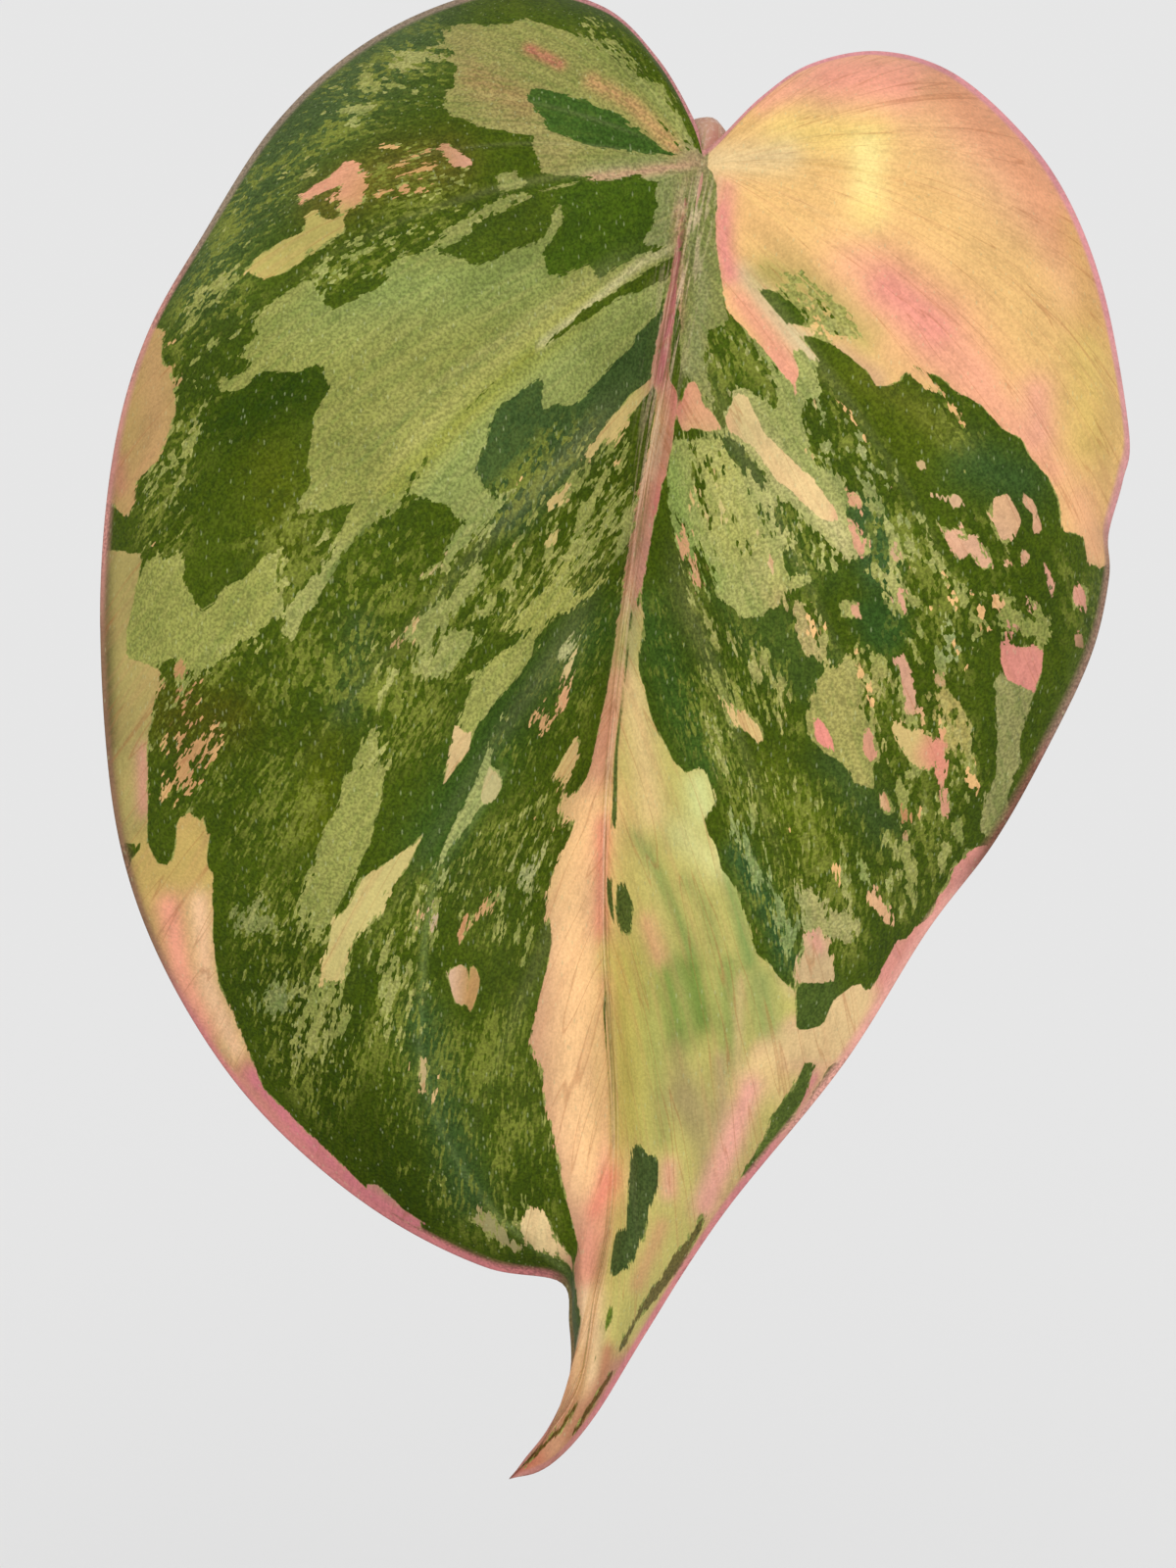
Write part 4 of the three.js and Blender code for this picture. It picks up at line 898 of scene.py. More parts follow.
# Soft washes of colour: the tones that they go into, then the colour, the route, the width in
# pixels and the strength of each.
FRONT_WASHES = [
    (LIGHT, [
        ("#f2a090", "780,105 850,68 950,70 1050,130 1112,235 1140,330", 15, 0.75),
        ("#f29c8c", "885,285 945,335 985,385", 26, 0.8),
        ("#f4a98c", "985,385 1040,440 1075,480", 18, 0.7),
        ("#e9b28c", "860,90 960,100 1050,190", 50, 0.6),
        ("#b5aa74", "648,610 639,690", 9, 0.8)]),
    (DARK, [
        ("#2a3f02", "240,435 300,390", 36, 0.9),
        ("#2f3f02", "300,1000 330,1120 420,1230", 50, 0.7),
        ("#40500a", "860,400 960,460 1010,480", 34, 0.7),
        ("#4c5a18", "480,900 520,1000 530,1150", 30, 0.6),
        ("#665c1e", "330,205 400,170 455,165", 30, 0.8),
        ("#7f8f4c",
         "514,785 480,840 442,893 433,960 427,1062 442,1135 472,1195 509,1243 575,1294", 4, 0.6),
        ("#7d7a2c", "880,385 985,455", 16, 0.5)]),
    (SAGE, [
        ("#b3ae60", "735,470 745,540 790,580", 30, 0.8),
        ("#96a05a", "440,490 505,415 560,370", 26, 0.7),
        ("#8d9450", "300,330 430,300 540,280", 40, 0.5),
        ("#5f7430", "550,352 465,430 398,515", 3.5, 0.9),
        ("#4f6428", "376,535 335,590", 5, 0.8),
        ("#a8a35a", "590,300 500,372 420,450 385,500", 10, 0.6),
        ("#9a8a58", "470,60 560,150", 34, 0.6),
        ("#a09a52", "770,275 830,305 885,340", 26, 0.8),
        ("#b0a060", "855,350 868,360", 12, 0.8)]),
    # Painted shade: dark bands just inside the curled margins, down the left side and on the right,
    # where the rolled rim shades the face.
    ("dark sage light", [
        ("#4d4e22", "124,320 108,460 106,600 111,760", 8, 0.85),
        ("#6b5230", "108,760 122,860 150,960 190,1040", 6, 0.75),
        ("#4c5a22", "1122,590 1098,680 1058,780 1010,860", 8, 0.6)]),
    (LIGHT, [
        ("#7c9244", "680,985 692,1062", 17, 0.95),
        ("#6c883a", "705,986 717,1042", 15, 0.9),
        ("#8a9a50", "742,985 748,1085", 14, 0.85),
        ("#8f9c58", "775,1000 783,1048", 16, 0.85),
        ("#869a50", "648,850 672,890 705,970", 7, 0.85),
        ("#7f9650", "738,885 752,930 765,980", 9, 0.9),
        ("#93a055", "655,1010 664,1080", 7, 0.8),
        ("#98a058", "700,900 718,920 730,960", 9, 0.7),
        ("#a99c66", "612,1352 608,1400", 6, 0.9),
        ("#a99a60", "690,1070 700,1130 722,1190", 12, 0.8),
        ("#bca474", "735,1080 738,1160 715,1220", 8, 0.8),
        ("#98a058", "655,1010 668,1090 676,1160", 9, 0.7),
        ("#f0b292", "990,110 1060,190 1105,290", 26, 0.6),
        ("#c8a06a", "770,90 740,120 726,160", 12, 0.7),
        ("#edcc78", "800,135 885,135", 26, 0.9),
        ("#f4de90", "885,150 885,215", 18, 0.9),
        ("#eed47c", "885,220 870,285", 20, 0.7),
        ("#e6cc98", "730,165 800,158", 20, 0.8),
        ("#ec9f88", "850,78 920,85", 26, 0.9),
        ("#e5a077", "970,90 1040,160 1090,240", 30, 0.8),
        ("#f0ab88", "880,270 960,330 1000,420", 38, 0.9),
        ("#f0998a", "905,290 955,335", 18, 0.8),
        ("#eda78e", "1058,400 1062,440", 20, 0.8),
        ("#d6a866", "1100,230 1115,330", 22, 0.8),
        ("#dfbf6c", "1110,360 1112,450", 26, 0.8),
        ("#eeb184", "1100,510 1118,560", 20, 0.8),
        ("#e58f88", "738,195 737,250 744,280", 13, 0.9),
        ("#eaa284", "755,305 785,345 808,388", 14, 0.9),
        ("#cda57c", "858,358 893,385", 14, 0.9),
        ("#aea45a", "785,277 832,300 884,340", 19, 0.8),
        ("#b5606a", "703,200 688,300 672,390", 7, 0.9),
        ("#c06a66", "690,400 672,520", 11, 0.9),
        ("#c48a78", "665,540 650,610", 9, 0.9),
        ("#dc9a80", "632,690 622,740 610,800", 11, 0.9),
        ("#fecd96", "600,830 580,900 590,1000 585,1100 604,1200", 34, 1.0),
        ("#f5a088", "614,840 612,950", 9, 0.8),
        ("#f5b090", "616,1000 620,1120 614,1260", 8, 0.7),
        ("#e88a74", "622,1200 606,1235", 11, 0.8),
        ("#ea9c80", "605,1262 600,1300", 14, 0.8),
        ("#f2cd9e", "602,1325 598,1400", 14, 1.0),
        ("#fbaa8e", "172,925 184,990 212,1050", 15, 0.95),
        ("#ffcfa2", "203,920 210,1000 240,1070", 12, 0.95),
        ("#d98088", "255,1095 300,1150 380,1225 470,1278 530,1305", 14, 1.0),
        ("#cf967e", "145,765 146,825", 8, 0.9),
        ("#c08068", "121,470 123,498", 8, 0.8),
        ("#c39a68", "155,360 160,440 140,520", 16, 0.8),
        ("#b98f58", "385,200 440,165", 34, 0.85),
        ("#c08f5f", "190,700 200,800", 26, 0.8),
        ("#d8b070", "945,400 995,445", 20, 0.9),
        ("#dcb090", "985,540 1070,610", 34, 0.6),
        ("#d3b878", "640,430 520,560 440,640", 34, 0.9),
        ("#c9b070", "560,790 540,900 500,960", 26, 0.9),
        ("#efcf92", "645,700 655,760 665,830", 16, 0.8),
        ("#d2d68e", "712,800 716,825", 16, 0.9),
        ("#d6d38c", "695,850 730,880", 18, 0.8),
        ("#bbb35e", "640,980 645,1150", 26, 0.9),
        ("#b09c6c", "700,1120 740,1160", 22, 0.7),
        ("#c9b66e", "780,1095 784,1100", 10, 0.8),
        ("#cdb47a", "755,1000 752,1100", 6, 0.8),
        ("#f0cc8e", "775,1090 800,1110", 20, 0.7),
        ("#f5b09c", "765,1110 740,1180 720,1230", 14, 0.95),
        ("#e8ad8c", "682,1190 682,1215", 10, 0.9),
        ("#cfa070", "675,1250 650,1310", 9, 0.8),
        ("#dfae7c", "660,940 672,975", 10, 0.9),
        ("#b07a5a", "620,1375 612,1420 580,1465", 7, 0.9),
        ("#d9b27f", "595,1380 590,1420", 8, 0.9),
        ("#b8846a", "560,1440 540,1470", 9, 0.8),
        ("#b56a52", "545,1488 525,1505", 12, 0.9),
        ("#d9888a", "830,1100 740,1240 660,1360 618,1430", 8, 0.9),
        ("#c9c07c", "715,470 740,540 765,600", 30, 0.85),
        ("#dc9c88", "828,952 836,966", 7, 0.9)]),
    (SAGE, [
        ("#96963f", "400,500 500,400 600,310", 14, 0.8),
        ("#7d8e4c", "340,300 470,290 540,270", 34, 0.6),
        ("#c3ba88", "692,249 650,270 620,295 590,320 552,350", 5, 0.85),
        ("#bd8f60", "604,82 645,106 688,150", 9, 0.9),
        ("#b8685a", "540,49 571,65", 6, 0.9),
        ("#a07c50", "485,80 535,105", 16, 0.6),
        ("#bd9478", "600,181 650,175 704,167", 6, 0.95),
        ("#a4876a", "706,160 716,168", 11, 0.9),
        ("#8c9060", "702,200 716,300 706,380", 10, 0.6),
        ("#c9967c", "694,210 690,330", 6, 0.9),
        ("#88a050", "684,480 700,560 725,590", 16, 0.7),
        ("#b4ae70", "770,500 800,540 770,590", 18, 0.5),
        ("#c6b980", "742,400 770,440 805,490 845,530 866,562", 15, 0.8),
        ("#8a9460", "850,420 920,520", 30, 0.6)]),
    (DARK, [
        ("#4c6034", "190,280 300,130 420,30", 50, 0.75),
        ("#545c0a", "280,480 290,540", 36, 0.6),
        ("#34541e", "440,860 520,720 600,640", 34, 0.7),
        ("#3a5830", "430,1040 450,1130 480,1220", 24, 0.6),
        ("#3c5226", "368,640 352,725", 20, 0.6),
        ("#58620a", "332,765 320,840", 26, 0.7),
        ("#3c5a2c", "990,470 1040,490", 30, 0.7),
        ("#4e5c06", "860,385 930,450", 30, 0.7),
        ("#35562e", "752,870 790,940 803,980", 14, 0.8),
        ("#5c6a14", "785,785 832,862", 26, 0.7),
        ("#3f5426", "850,775 902,845", 22, 0.7),
        ("#3d5c22", "660,620 690,720 720,780", 24, 0.7),
        ("#55500c", "175,730 230,730", 34, 0.7)]),
    (RIM, [
        ("#93806f", "200,250 330,60 450,0", 60, 1.0),
        ("#c98c84", "170,320 108,480 104,620", 60, 0.9),
        ("#8c6a54", "106,660 112,800 150,970", 60, 1.0),
        ("#cf7f80", "210,1060 300,1170 560,1308", 60, 1.0),
        ("#6b6a3c", "580,1310 588,1370 560,1430", 16, 0.9),
        ("#dc949c", "760,90 850,58 960,60 1090,200 1140,340", 60, 1.0),
        ("#d8989e", "1148,380 1150,440 1130,540", 40, 1.0),
        ("#9a7a6a", "1128,570 1115,640 1080,740", 30, 1.0),
        ("#7d5244", "1060,790 1040,830 1005,872", 24, 1.0),
        ("#e8a89a", "960,930 860,1060 800,1130", 40, 1.0),
        ("#d8888a", "770,1180 640,1370 600,1440", 30, 1.0),
        ("#c98a8c", "690,120 640,30 600,0", 26, 1.0)]),
]


def pixels(route):
    """Pixels of the photograph as places on the front leaf: across and down from its joint."""
    places = np.array([place.split(",") for place in route.split()], float)
    return (places - JOINT_PIXEL) * PIXEL


front_blade, spots, facts = build_blade("front_leaf_blade", front)
# A spot that bulges towards the camera is seen a little further out from the picture's middle.
middle = (MIDDLE_PIXEL - JOINT_PIXEL) * PIXEL
flat = spots[:, :2] * (1, -1)
seen = middle + (flat - middle) / (1 - spots[:, 2:] / VIEW_DISTANCE)
skin = bare_skin(seen, FRONT_MOTTLE)
for outline, *levels in FRONT_SPECKLES:
    speckle(skin, pixels(outline), *levels)
for _, tone, code, outline in FRONT_MARKS:
    mark(skin, tone, code, pixels(outline))
for outline, *levels in FRONT_HAZES:
    speckle(skin, pixels(outline), *levels)
for tone, washes in FRONT_WASHES:
    for code, route, width, strength in washes:
        tint(skin, tone, code, pixels(route), width * PIXEL, strength)


# How strongly the fibres, the rim and the veins show. The fibres lie in a belt beside the midrib
# that is BELT millimetres wide each way at the joint and narrows down the leaf.
FIBRES, RIM_COLOUR, VEIN_PALENESS = 0.55, 0.9, 0.16
BELT, BELT_NARROWING, VEIN_LINE = 1.2, 0.95, 0.25


def dress(blade, leaf, flat, skin, facts):
    """Hands the skin's numbers to the mesh for the velvet material."""
    mesh = blade.data
    for name in ("green", "deep", "mottle", *TONES):
        store(mesh, name, skin[name])
    _, reach, vein, out, rim, spread, below, _ = facts.T
    store(mesh, "spread_level", np.log2(np.maximum(spread, 1)))
    store(mesh, "below", below)
    away = off_route(flat, leaf["rib"][::60]) * RELIEF_LENGTH / leaf["length"]
    width = BELT - BELT_NARROWING * smoothstep(flat[:, 1] / leaf["length"], 0.03, 0.36)
    store(mesh, "fibre", FIBRES * bell(away / width) * smoothstep(flat[:, 1], 0, 1.5))
    store(mesh, "rim", RIM_COLOUR * smoothstep(1 - rim / leaf["rim"], 0, 0.7))
    store(mesh, "vein_line", VEIN_PALENESS * bell(vein / VEIN_LINE) * smoothstep(out, 2, 8)
          * (1 - reach) ** 2)
    mesh.materials.append(velvet)


dress(front_blade, front, flat, skin, facts)
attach(front_blade, "root")
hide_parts("leaf_front")


# The other nine leaves grow on the same vines and have the same tissue. Their sectors of sage and
# light run out along the veins, as they do in a leaf whose growing tip is a patchwork of cells.
LEAVES = {
    "leaf_low_left": {"joint": (-29, -37, 106), "facing": -28, "hang": 68, "length": 64,
                      "sway": 0.05, "phase": 0.3, "seed": 11, "pale": 0.35},
    "leaf_back_left": {"joint": (-42, 40, 136), "facing": -136, "hang": 62, "length": 68,
                       "sway": -0.06, "phase": 0.7, "seed": 23, "pale": 0.2},
    "leaf_left": {"joint": (-54, -4, 166), "facing": -84, "hang": 60, "length": 70,
                  "sway": 0.07, "phase": 0.1, "seed": 37, "pale": 0.45},
    "leaf_back": {"joint": (-24, 50, 196), "facing": -166, "hang": 58, "length": 66,
                  "sway": -0.05, "phase": 0.5, "seed": 41, "pale": 0.3},
    "leaf_top": {"joint": (-34, -2, 226), "facing": -62, "hang": 42, "length": 52,
                 "sway": 0.06, "phase": 0.9, "seed": 53, "pale": 0.25},
    "leaf_young": {"joint": (84, -6, 232), "facing": 58, "hang": 38, "length": 38,
                   "sway": 0.08, "phase": 0.2, "seed": 67, "pale": 0.6},
    "leaf_right": {"joint": (52, 6, 76), "facing": 96, "hang": 70, "length": 60,
                   "sway": -0.07, "phase": 0.4, "seed": 71, "pale": 0.3},
    "leaf_back_right": {"joint": (37, 50, 66), "facing": 150, "hang": 66, "length": 56,
                        "sway": 0.05, "phase": 0.8, "seed": 83, "pale": 0.5},
    "leaf_low_front": {"joint": (22, -50, 88), "facing": 24, "hang": 68, "length": 58,
                       "sway": -0.06, "phase": 0.6, "seed": 97, "pale": 0.25},
}
PLAIN_MAKE = {"grid": (140, 48), "thickness": 0.5, "rim": 0.5,
              "veins": {"left": [0.1, 0.22, 0.33, 0.44, 0.55, 0.66, 0.77, 0.87],
                        "right": [0.12, 0.24, 0.35, 0.45, 0.57, 0.68, 0.78, 0.88]}}
CODES = {
    LIGHT: ["#eabb7c", "#e6c98e", "#eb9f88", "#e9ca77", "#e58f80", "#f0c493"],
    SAGE: ["#93964e", "#7f8a48", "#9ea052", "#88924f", "#a39a55"],
    DARK: ["#475708", "#3f5a1e", "#4c5a14", "#3d5230"],
}
PLAIN_MOTTLE = 0.3
# Of its sectors, up to 0.8 of a leaf's own paleness are light, then up to these shares sage and
# dark; the rest break up into specks. Washes run along the veins and one down the midrib.
SECTORS, SAGE_UP_TO, DARK_UP_TO = 26, 0.72, 0.87
WASHES, WASH_WIDTH, WASH_STRENGTH = 10, 2.2, 0.8


def sector(leaf, side, low, high, near, far, rng):
    """The ragged outline of a wedge of tissue between two vein lines."""
    def edge(share, reaches):
        share = np.clip(share + rng.normal(0, 0.006, len(reaches)), 0, 0.995)
        return blade_place(leaf, side, share, reaches)[:, :2] * (1, -1)
    out = np.linspace(near, far, 6)
    across = np.linspace(low, high, 4)[1:-1]
    tip = np.clip(far + rng.normal(0, 0.05, 2), 0, 1.05)
    foot = np.clip(near + rng.normal(0, 0.04, 2), 0, 1)
    return np.concatenate([edge(np.full(6, low), out), edge(across, tip),
                           edge(np.full(6, high), out[::-1]), edge(across[::-1], foot)])


def patchwork(leaf, skin):
    """Lays a seeded patchwork of sectors, breaks and washes over a plain leaf."""
    rng = np.random.default_rng(leaf["seed"])
    for k in range(SECTORS):
        side = (-1, 1)[k % 2]
        low = rng.uniform(0.02, 0.93)
        high = low + rng.uniform(0.02, 0.11)
        near = rng.choice([0.0, rng.uniform(0.05, 0.7)])
        far = rng.choice([1.05, min(1, near + rng.uniform(0.15, 0.5))])
        outline = sector(leaf, side, low, high, near, far, rng)
        pick = rng.uniform()
        tone = (LIGHT if pick < leaf["pale"] * 0.8 else SAGE if pick < SAGE_UP_TO
                else DARK if pick < DARK_UP_TO else None)
        if tone:
            mark(skin, tone, str(rng.choice(CODES[tone])), outline)
        else:
            speckle(skin, outline, rng.uniform(0.3, 1.5), rng.uniform(0.1, 0.6), 1.0)
    for _ in range(WASHES):
        side = int(rng.choice([-1, 1]))
        share = np.full(3, rng.uniform(0.05, 0.9))
        route = blade_place(leaf, side, share, np.sort(rng.uniform(0.1, 1, 3)))[:, :2] * (1, -1)
        for tone, codes in CODES.items():
            tint(skin, tone, str(rng.choice(codes)), route, WASH_WIDTH, WASH_STRENGTH)
    rib = blade_place(leaf, 1, np.linspace(0.3, 1, 9), np.zeros(9))[:, :2] * (1, -1)
    tint(skin, LIGHT, "#c47f72", rib, 1.2, 0.8)


half = np.array(PLAIN_HALF)
down = np.linspace(0, 1, 9)
for name, leaf in LEAVES.items():
    length, sway = leaf["length"], leaf["sway"]
    swing = sway * np.maximum(0, half[:, 1]) ** 2
    for side, key in SIDES.items():
        leaf[key] = smooth_path(np.stack([side * half[:, 0] + swing, half[:, 1]], 1) * length,
                                SAMPLES)
    leaf["rib"] = smooth_path(np.stack([sway * down**2, down], 1) * length, SAMPLES)
    leaf["form"] = {**PLAIN_FORM, "phase": leaf["phase"]}
    leaf.update(PLAIN_MAKE, girth=GIRTH * length / RELIEF_LENGTH)
    blade, spots, facts = build_blade(name + "_blade", leaf)
    skin = bare_skin(spots[:, :2] * (1, -1), PLAIN_MOTTLE)
    patchwork(leaf, skin)
    dress(blade, leaf, skin["points"], skin, facts)
    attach(blade, "root")
    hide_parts(name)


# The three vines: round, slightly zigzag green stems with a swollen ring at each node, where a
# leaf and a short brown aerial root come out. They are rooted in the potting mix.
NODE_SWELL, NODE_REACH = 0.7, 2.4
# Above and below each node runs a thin collar, and round the node itself a fine groove.
COLLAR, COLLAR_PLACE, COLLAR_WIDTH = 0.16, 1.5, 0.35
GROOVE, GROOVE_WIDTH = 0.1, 0.4
STEM_STEP, STEM_SIDES = 0.6, 28
ROOT_POINTS, ROOT_SIDES = 22, 12
ROOT_RADII = (0.62, 0.22)
LOWEST_ROOT = 66
RIBS, FINE_RIBS = 0.07, 0.05
STEMS = {
    "stem_main": {"path": [(-6, 4, 50.5), (-6, 4, 66), (-9, 6, 92), (-13, 9, 120),
                           (-13.5, 11, 148), (-9, 13, 174), (2, 14, 195), (20, 14, 209),
                           (40, 13.5, 215), (58, 11, 214), (74, 8, 213)],
                  "radii": (2.3, 1.7), "nodes": (0.12, 0.25, 0.38, 0.51, 0.65, 0.8, 0.93)},
    "stem_back": {"path": [(10, 12, 50.5), (11, 13, 62), (16, 18, 71), (26, 25, 76.5),
                           (37, 30, 77)],
                  "radii": (2.0, 1.6), "nodes": (0.42, 0.8)},
    "stem_front": {"path": [(8, -15, 50.5), (8.5, -15.5, 62), (12, -19, 74), (20, -23, 84),
                            (29, -24, 90)],
                   "radii": (1.9, 1.5), "nodes": (0.46, 0.78)},
}


def unit(vector):
    return vector / np.linalg.norm(vector)


def closed_rings(name, rings, ends):
    """A closed smooth mesh through rings of points, with one more point at each end."""
    points = np.concatenate([rings.reshape(-1, 3), ends])
    ring = np.arange(len(points) - 2).reshape(rings.shape[:2])
    turned = np.roll(ring, -1, axis=1)
    faces = np.stack([ring[:-1], turned[:-1], turned[1:], ring[1:]], -1).reshape(-1, 4).tolist()
    first, last = len(points) - 2, len(points) - 1
    faces += [(first, int(b), int(a)) for a, b in zip(ring[0], turned[0])]
    faces += [(last, int(a), int(b)) for a, b in zip(ring[-1], turned[-1])]
    return smooth_mesh(name, points, faces)


def tube(name, path, radii, sides, ripple=None):
    """A closed round body along evenly spaced points, with a radius at each of them."""
    across = np.cross(unit(path[1] - path[0]), (0.3, 0.9, 0.2))
    spokes = []
    for direction in np.gradient(path, axis=0):
        direction = unit(direction)
        across = unit(across - direction * (across @ direction))
        spokes.append((across, np.cross(direction, across)))
    spokes = np.array(spokes)[:, :, None]
    angle = np.linspace(0, 2 * math.pi, sides, endpoint=False)
    round_about = (spokes[:, 0] * np.cos(angle)[None, :, None]
                   + spokes[:, 1] * np.sin(angle)[None, :, None])
    radius = np.asarray(radii)[:, None] * np.ones(sides)
    if ripple is not None:
        radius = radius + ripple(np.linspace(0, 1, len(path))[:, None], angle[None, :])
    mesh = closed_rings(name, path[:, None] + round_about * radius[..., None], path[[0, -1]])
    walked = np.append(0, np.cumsum(np.linalg.norm(np.diff(path, axis=0), axis=1)))
    pair = np.stack([np.repeat(walked, sides), np.tile(angle, len(path)) * np.mean(radii)], 1)
    pair = np.concatenate([pair, pair[:1], pair[-1:]])
    index = np.zeros(len(mesh.loops), np.int32)
    mesh.loops.foreach_get("vertex_index", index)
    uv = mesh.uv_layers.new(name="along")
    uv.data.foreach_set("uv", pair[index].astype(np.float32).ravel())
    return in_scene(name, mesh)


# The skin of a vine: smooth olive green, corky and tan in patches, streaked pink along the stem,
# with small pale breathing pores.
vine_skin, tree = finish("vine_skin")
spot = add(tree, "ShaderNodeTexCoord", out="Object")
patches = add(tree, NOISE, {"Vector": spot, "Scale": 120.0, "Detail": 4.0})
long_way = add(tree, VECTOR, {0: add(tree, "ShaderNodeUVMap", uv_map="along"), 1: (0.25, 2.2, 1)},
               operation="MULTIPLY")
streaks = add(tree, NOISE, {"Vector": long_way, "Scale": 1.0, "Detail": 4.0})
pores = add(tree, "ShaderNodeTexVoronoi", {"Vector": spot, "Scale": 700.0})
skin_tone = "#66732a"
for share, code in (
        (add(tree, RANGE, {0: patches, 1: 0.42, 2: 0.62}), "#8d7c4a"),
        (add(tree, RANGE, {0: streaks, 1: 0.5, 2: 0.7, 4: 0.65}), "#a8685a"),
        (add(tree, RANGE, {0: pores, 1: 0.12, 2: 0.2, 3: 0.6, 4: 0.0}), "#c9b58a")):
    skin_tone = add(tree, MIX, {0: share, 6: skin_tone, 7: code}, **COLOUR)
bump = add(tree, "ShaderNodeBump", {"Height": streaks, "Strength": 0.5, "Distance": 0.0002})
surface = add(tree, "ShaderNodeBsdfPrincipled", {
    "Base Color": skin_tone, "Roughness": 0.5, "Normal": bump, "Specular IOR Level": 0.35})
add(tree, "ShaderNodeOutputMaterial", {"Surface": surface})


def grained(name, low_code, high_code, scale, roughness, depth):
    """A rough woody or mineral finish: two colours mixed by the noise that also gives its bump."""
    material, tree = finish(name)
    spot = add(tree, "ShaderNodeTexCoord", out="Object")
    noise = add(tree, NOISE, {"Vector": spot, "Scale": scale, "Detail": 6.0})
    colour = add(tree, MIX, {0: add(tree, RANGE, {0: noise, 1: 0.35, 2: 0.65}),
                             6: low_code, 7: high_code}, **COLOUR)
    bump = add(tree, "ShaderNodeBump", {"Height": noise, "Distance": depth})
    surface = add(tree, "ShaderNodeBsdfPrincipled", {
        "Base Color": colour, "Roughness": roughness, "Normal": bump, "Specular IOR Level": 0.3})
    add(tree, "ShaderNodeOutputMaterial", {"Surface": surface})
    return material


# Aerial roots: dry, fibrous and brown, matt like thin bark.
root_bark = grained("aerial_root_bark", "#6b4a2c", "#a98558", 900.0, 0.85, 0.0003)

rng = np.random.default_rng(5)
for name, stem in STEMS.items():
    stem["line"] = smooth_path(stem["path"], 600, centripetal=True)
    length = np.linalg.norm(np.diff(stem["line"], axis=0), axis=1).sum()
    share = np.linspace(0, 1, int(length / STEM_STEP))
    beside = np.abs(share[:, None] - np.array(stem["nodes"])) * length
    radius = np.interp(share, (0, 1), stem["radii"])
    radius = radius + NODE_SWELL * bell(beside / NODE_REACH).max(1)
    radius = (radius + COLLAR * bell((beside - COLLAR_PLACE) / COLLAR_WIDTH).max(1)
              - GROOVE * bell(beside / GROOVE_WIDTH).max(1))

    def ribs(t, angle):
        return RIBS * np.sin(5 * angle + 9 * t) + FINE_RIBS * np.sin(11 * angle + 31 * t)

    body = tube(name + "_vine", on_path(stem["line"], share), radius, STEM_SIDES, ribs)
    body.data.materials.append(vine_skin)
    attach(body, "root")
    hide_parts(name)
    for k, node in enumerate(stem["nodes"][:-1]):
        at = on_path(stem["line"], np.array(node))
        if at[2] < LOWEST_ROOT:
            continue
        ahead = unit(on_path(stem["line"], np.array(node + 0.01)) - at)
        turn = rng.uniform(0, 2 * math.pi)
        out = unit(np.cross(ahead, (math.cos(turn), math.sin(turn), 0.3)))
        reach = rng.uniform(5, 11)
        drop = np.array([0, 0, -reach])
        route = [at + out * 1.2, at + out * (2.2 + reach * 0.25),
                 at + out * reach * 0.7 + drop * 0.25, at + out * reach * 0.8 + drop * 0.8]
        line = smooth_path(route, ROOT_POINTS, centripetal=True)
        root = tube(f"{name}_root_{k}", line, np.linspace(*ROOT_RADII, ROOT_POINTS), ROOT_SIDES)
        root.data.materials.append(root_bark)
        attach(root, "root")


# Petioles: the leaf stalks. Each leaves its node square to the vine, arches over the notch into
# the blade's joint and runs on under the blade as its raised midrib, pink and softly hairy.
PETIOLE_RADIUS = 1.15
# The foot widens where it clasps the node, and the midrib thins towards the tip.
FOOT_WIDENING, FOOT_LENGTH, MIDRIB_THINNING = 0.5, 3, 0.62
STALK_STEP, STALK_SIDES = 0.5, 20
MIDRIB_SHARES = (0.07, 0.2, 0.36, 0.52)
MIDRIB_SINKS = (1.5, 1.35, 1.1, 0.85)
PETIOLE_BACK = np.array([0.2, 3.4, -5.2])
PETIOLE_CREST = (0.3, 2, -2.2)
PETIOLE_JOINT = (0, -0.4, -1.3)
# The front leaf's stalk comes in from behind, out of the picture.
LEAD = [(-8.5, 11, -9), (-4.6, 4, -7.2), (-1.6, 1.7, -4.8)]
# The vine, the place along it, and how many millimetres the stalk arches up on its way.
ON_STEMS = {"leaf_front": ("stem_main", 0.8, 0), "leaf_low_left": ("stem_main", 0.12, 9),
            "leaf_back_left": ("stem_main", 0.25, 10), "leaf_left": ("stem_main", 0.38, 10),
            "leaf_back": ("stem_main", 0.51, 10), "leaf_top": ("stem_main", 0.65, 12),
            "leaf_young": ("stem_main", 0.93, 10), "leaf_right": ("stem_back", 0.42, 5),
            "leaf_back_right": ("stem_back", 0.8, 9), "leaf_low_front": ("stem_front", 0.46, 6)}


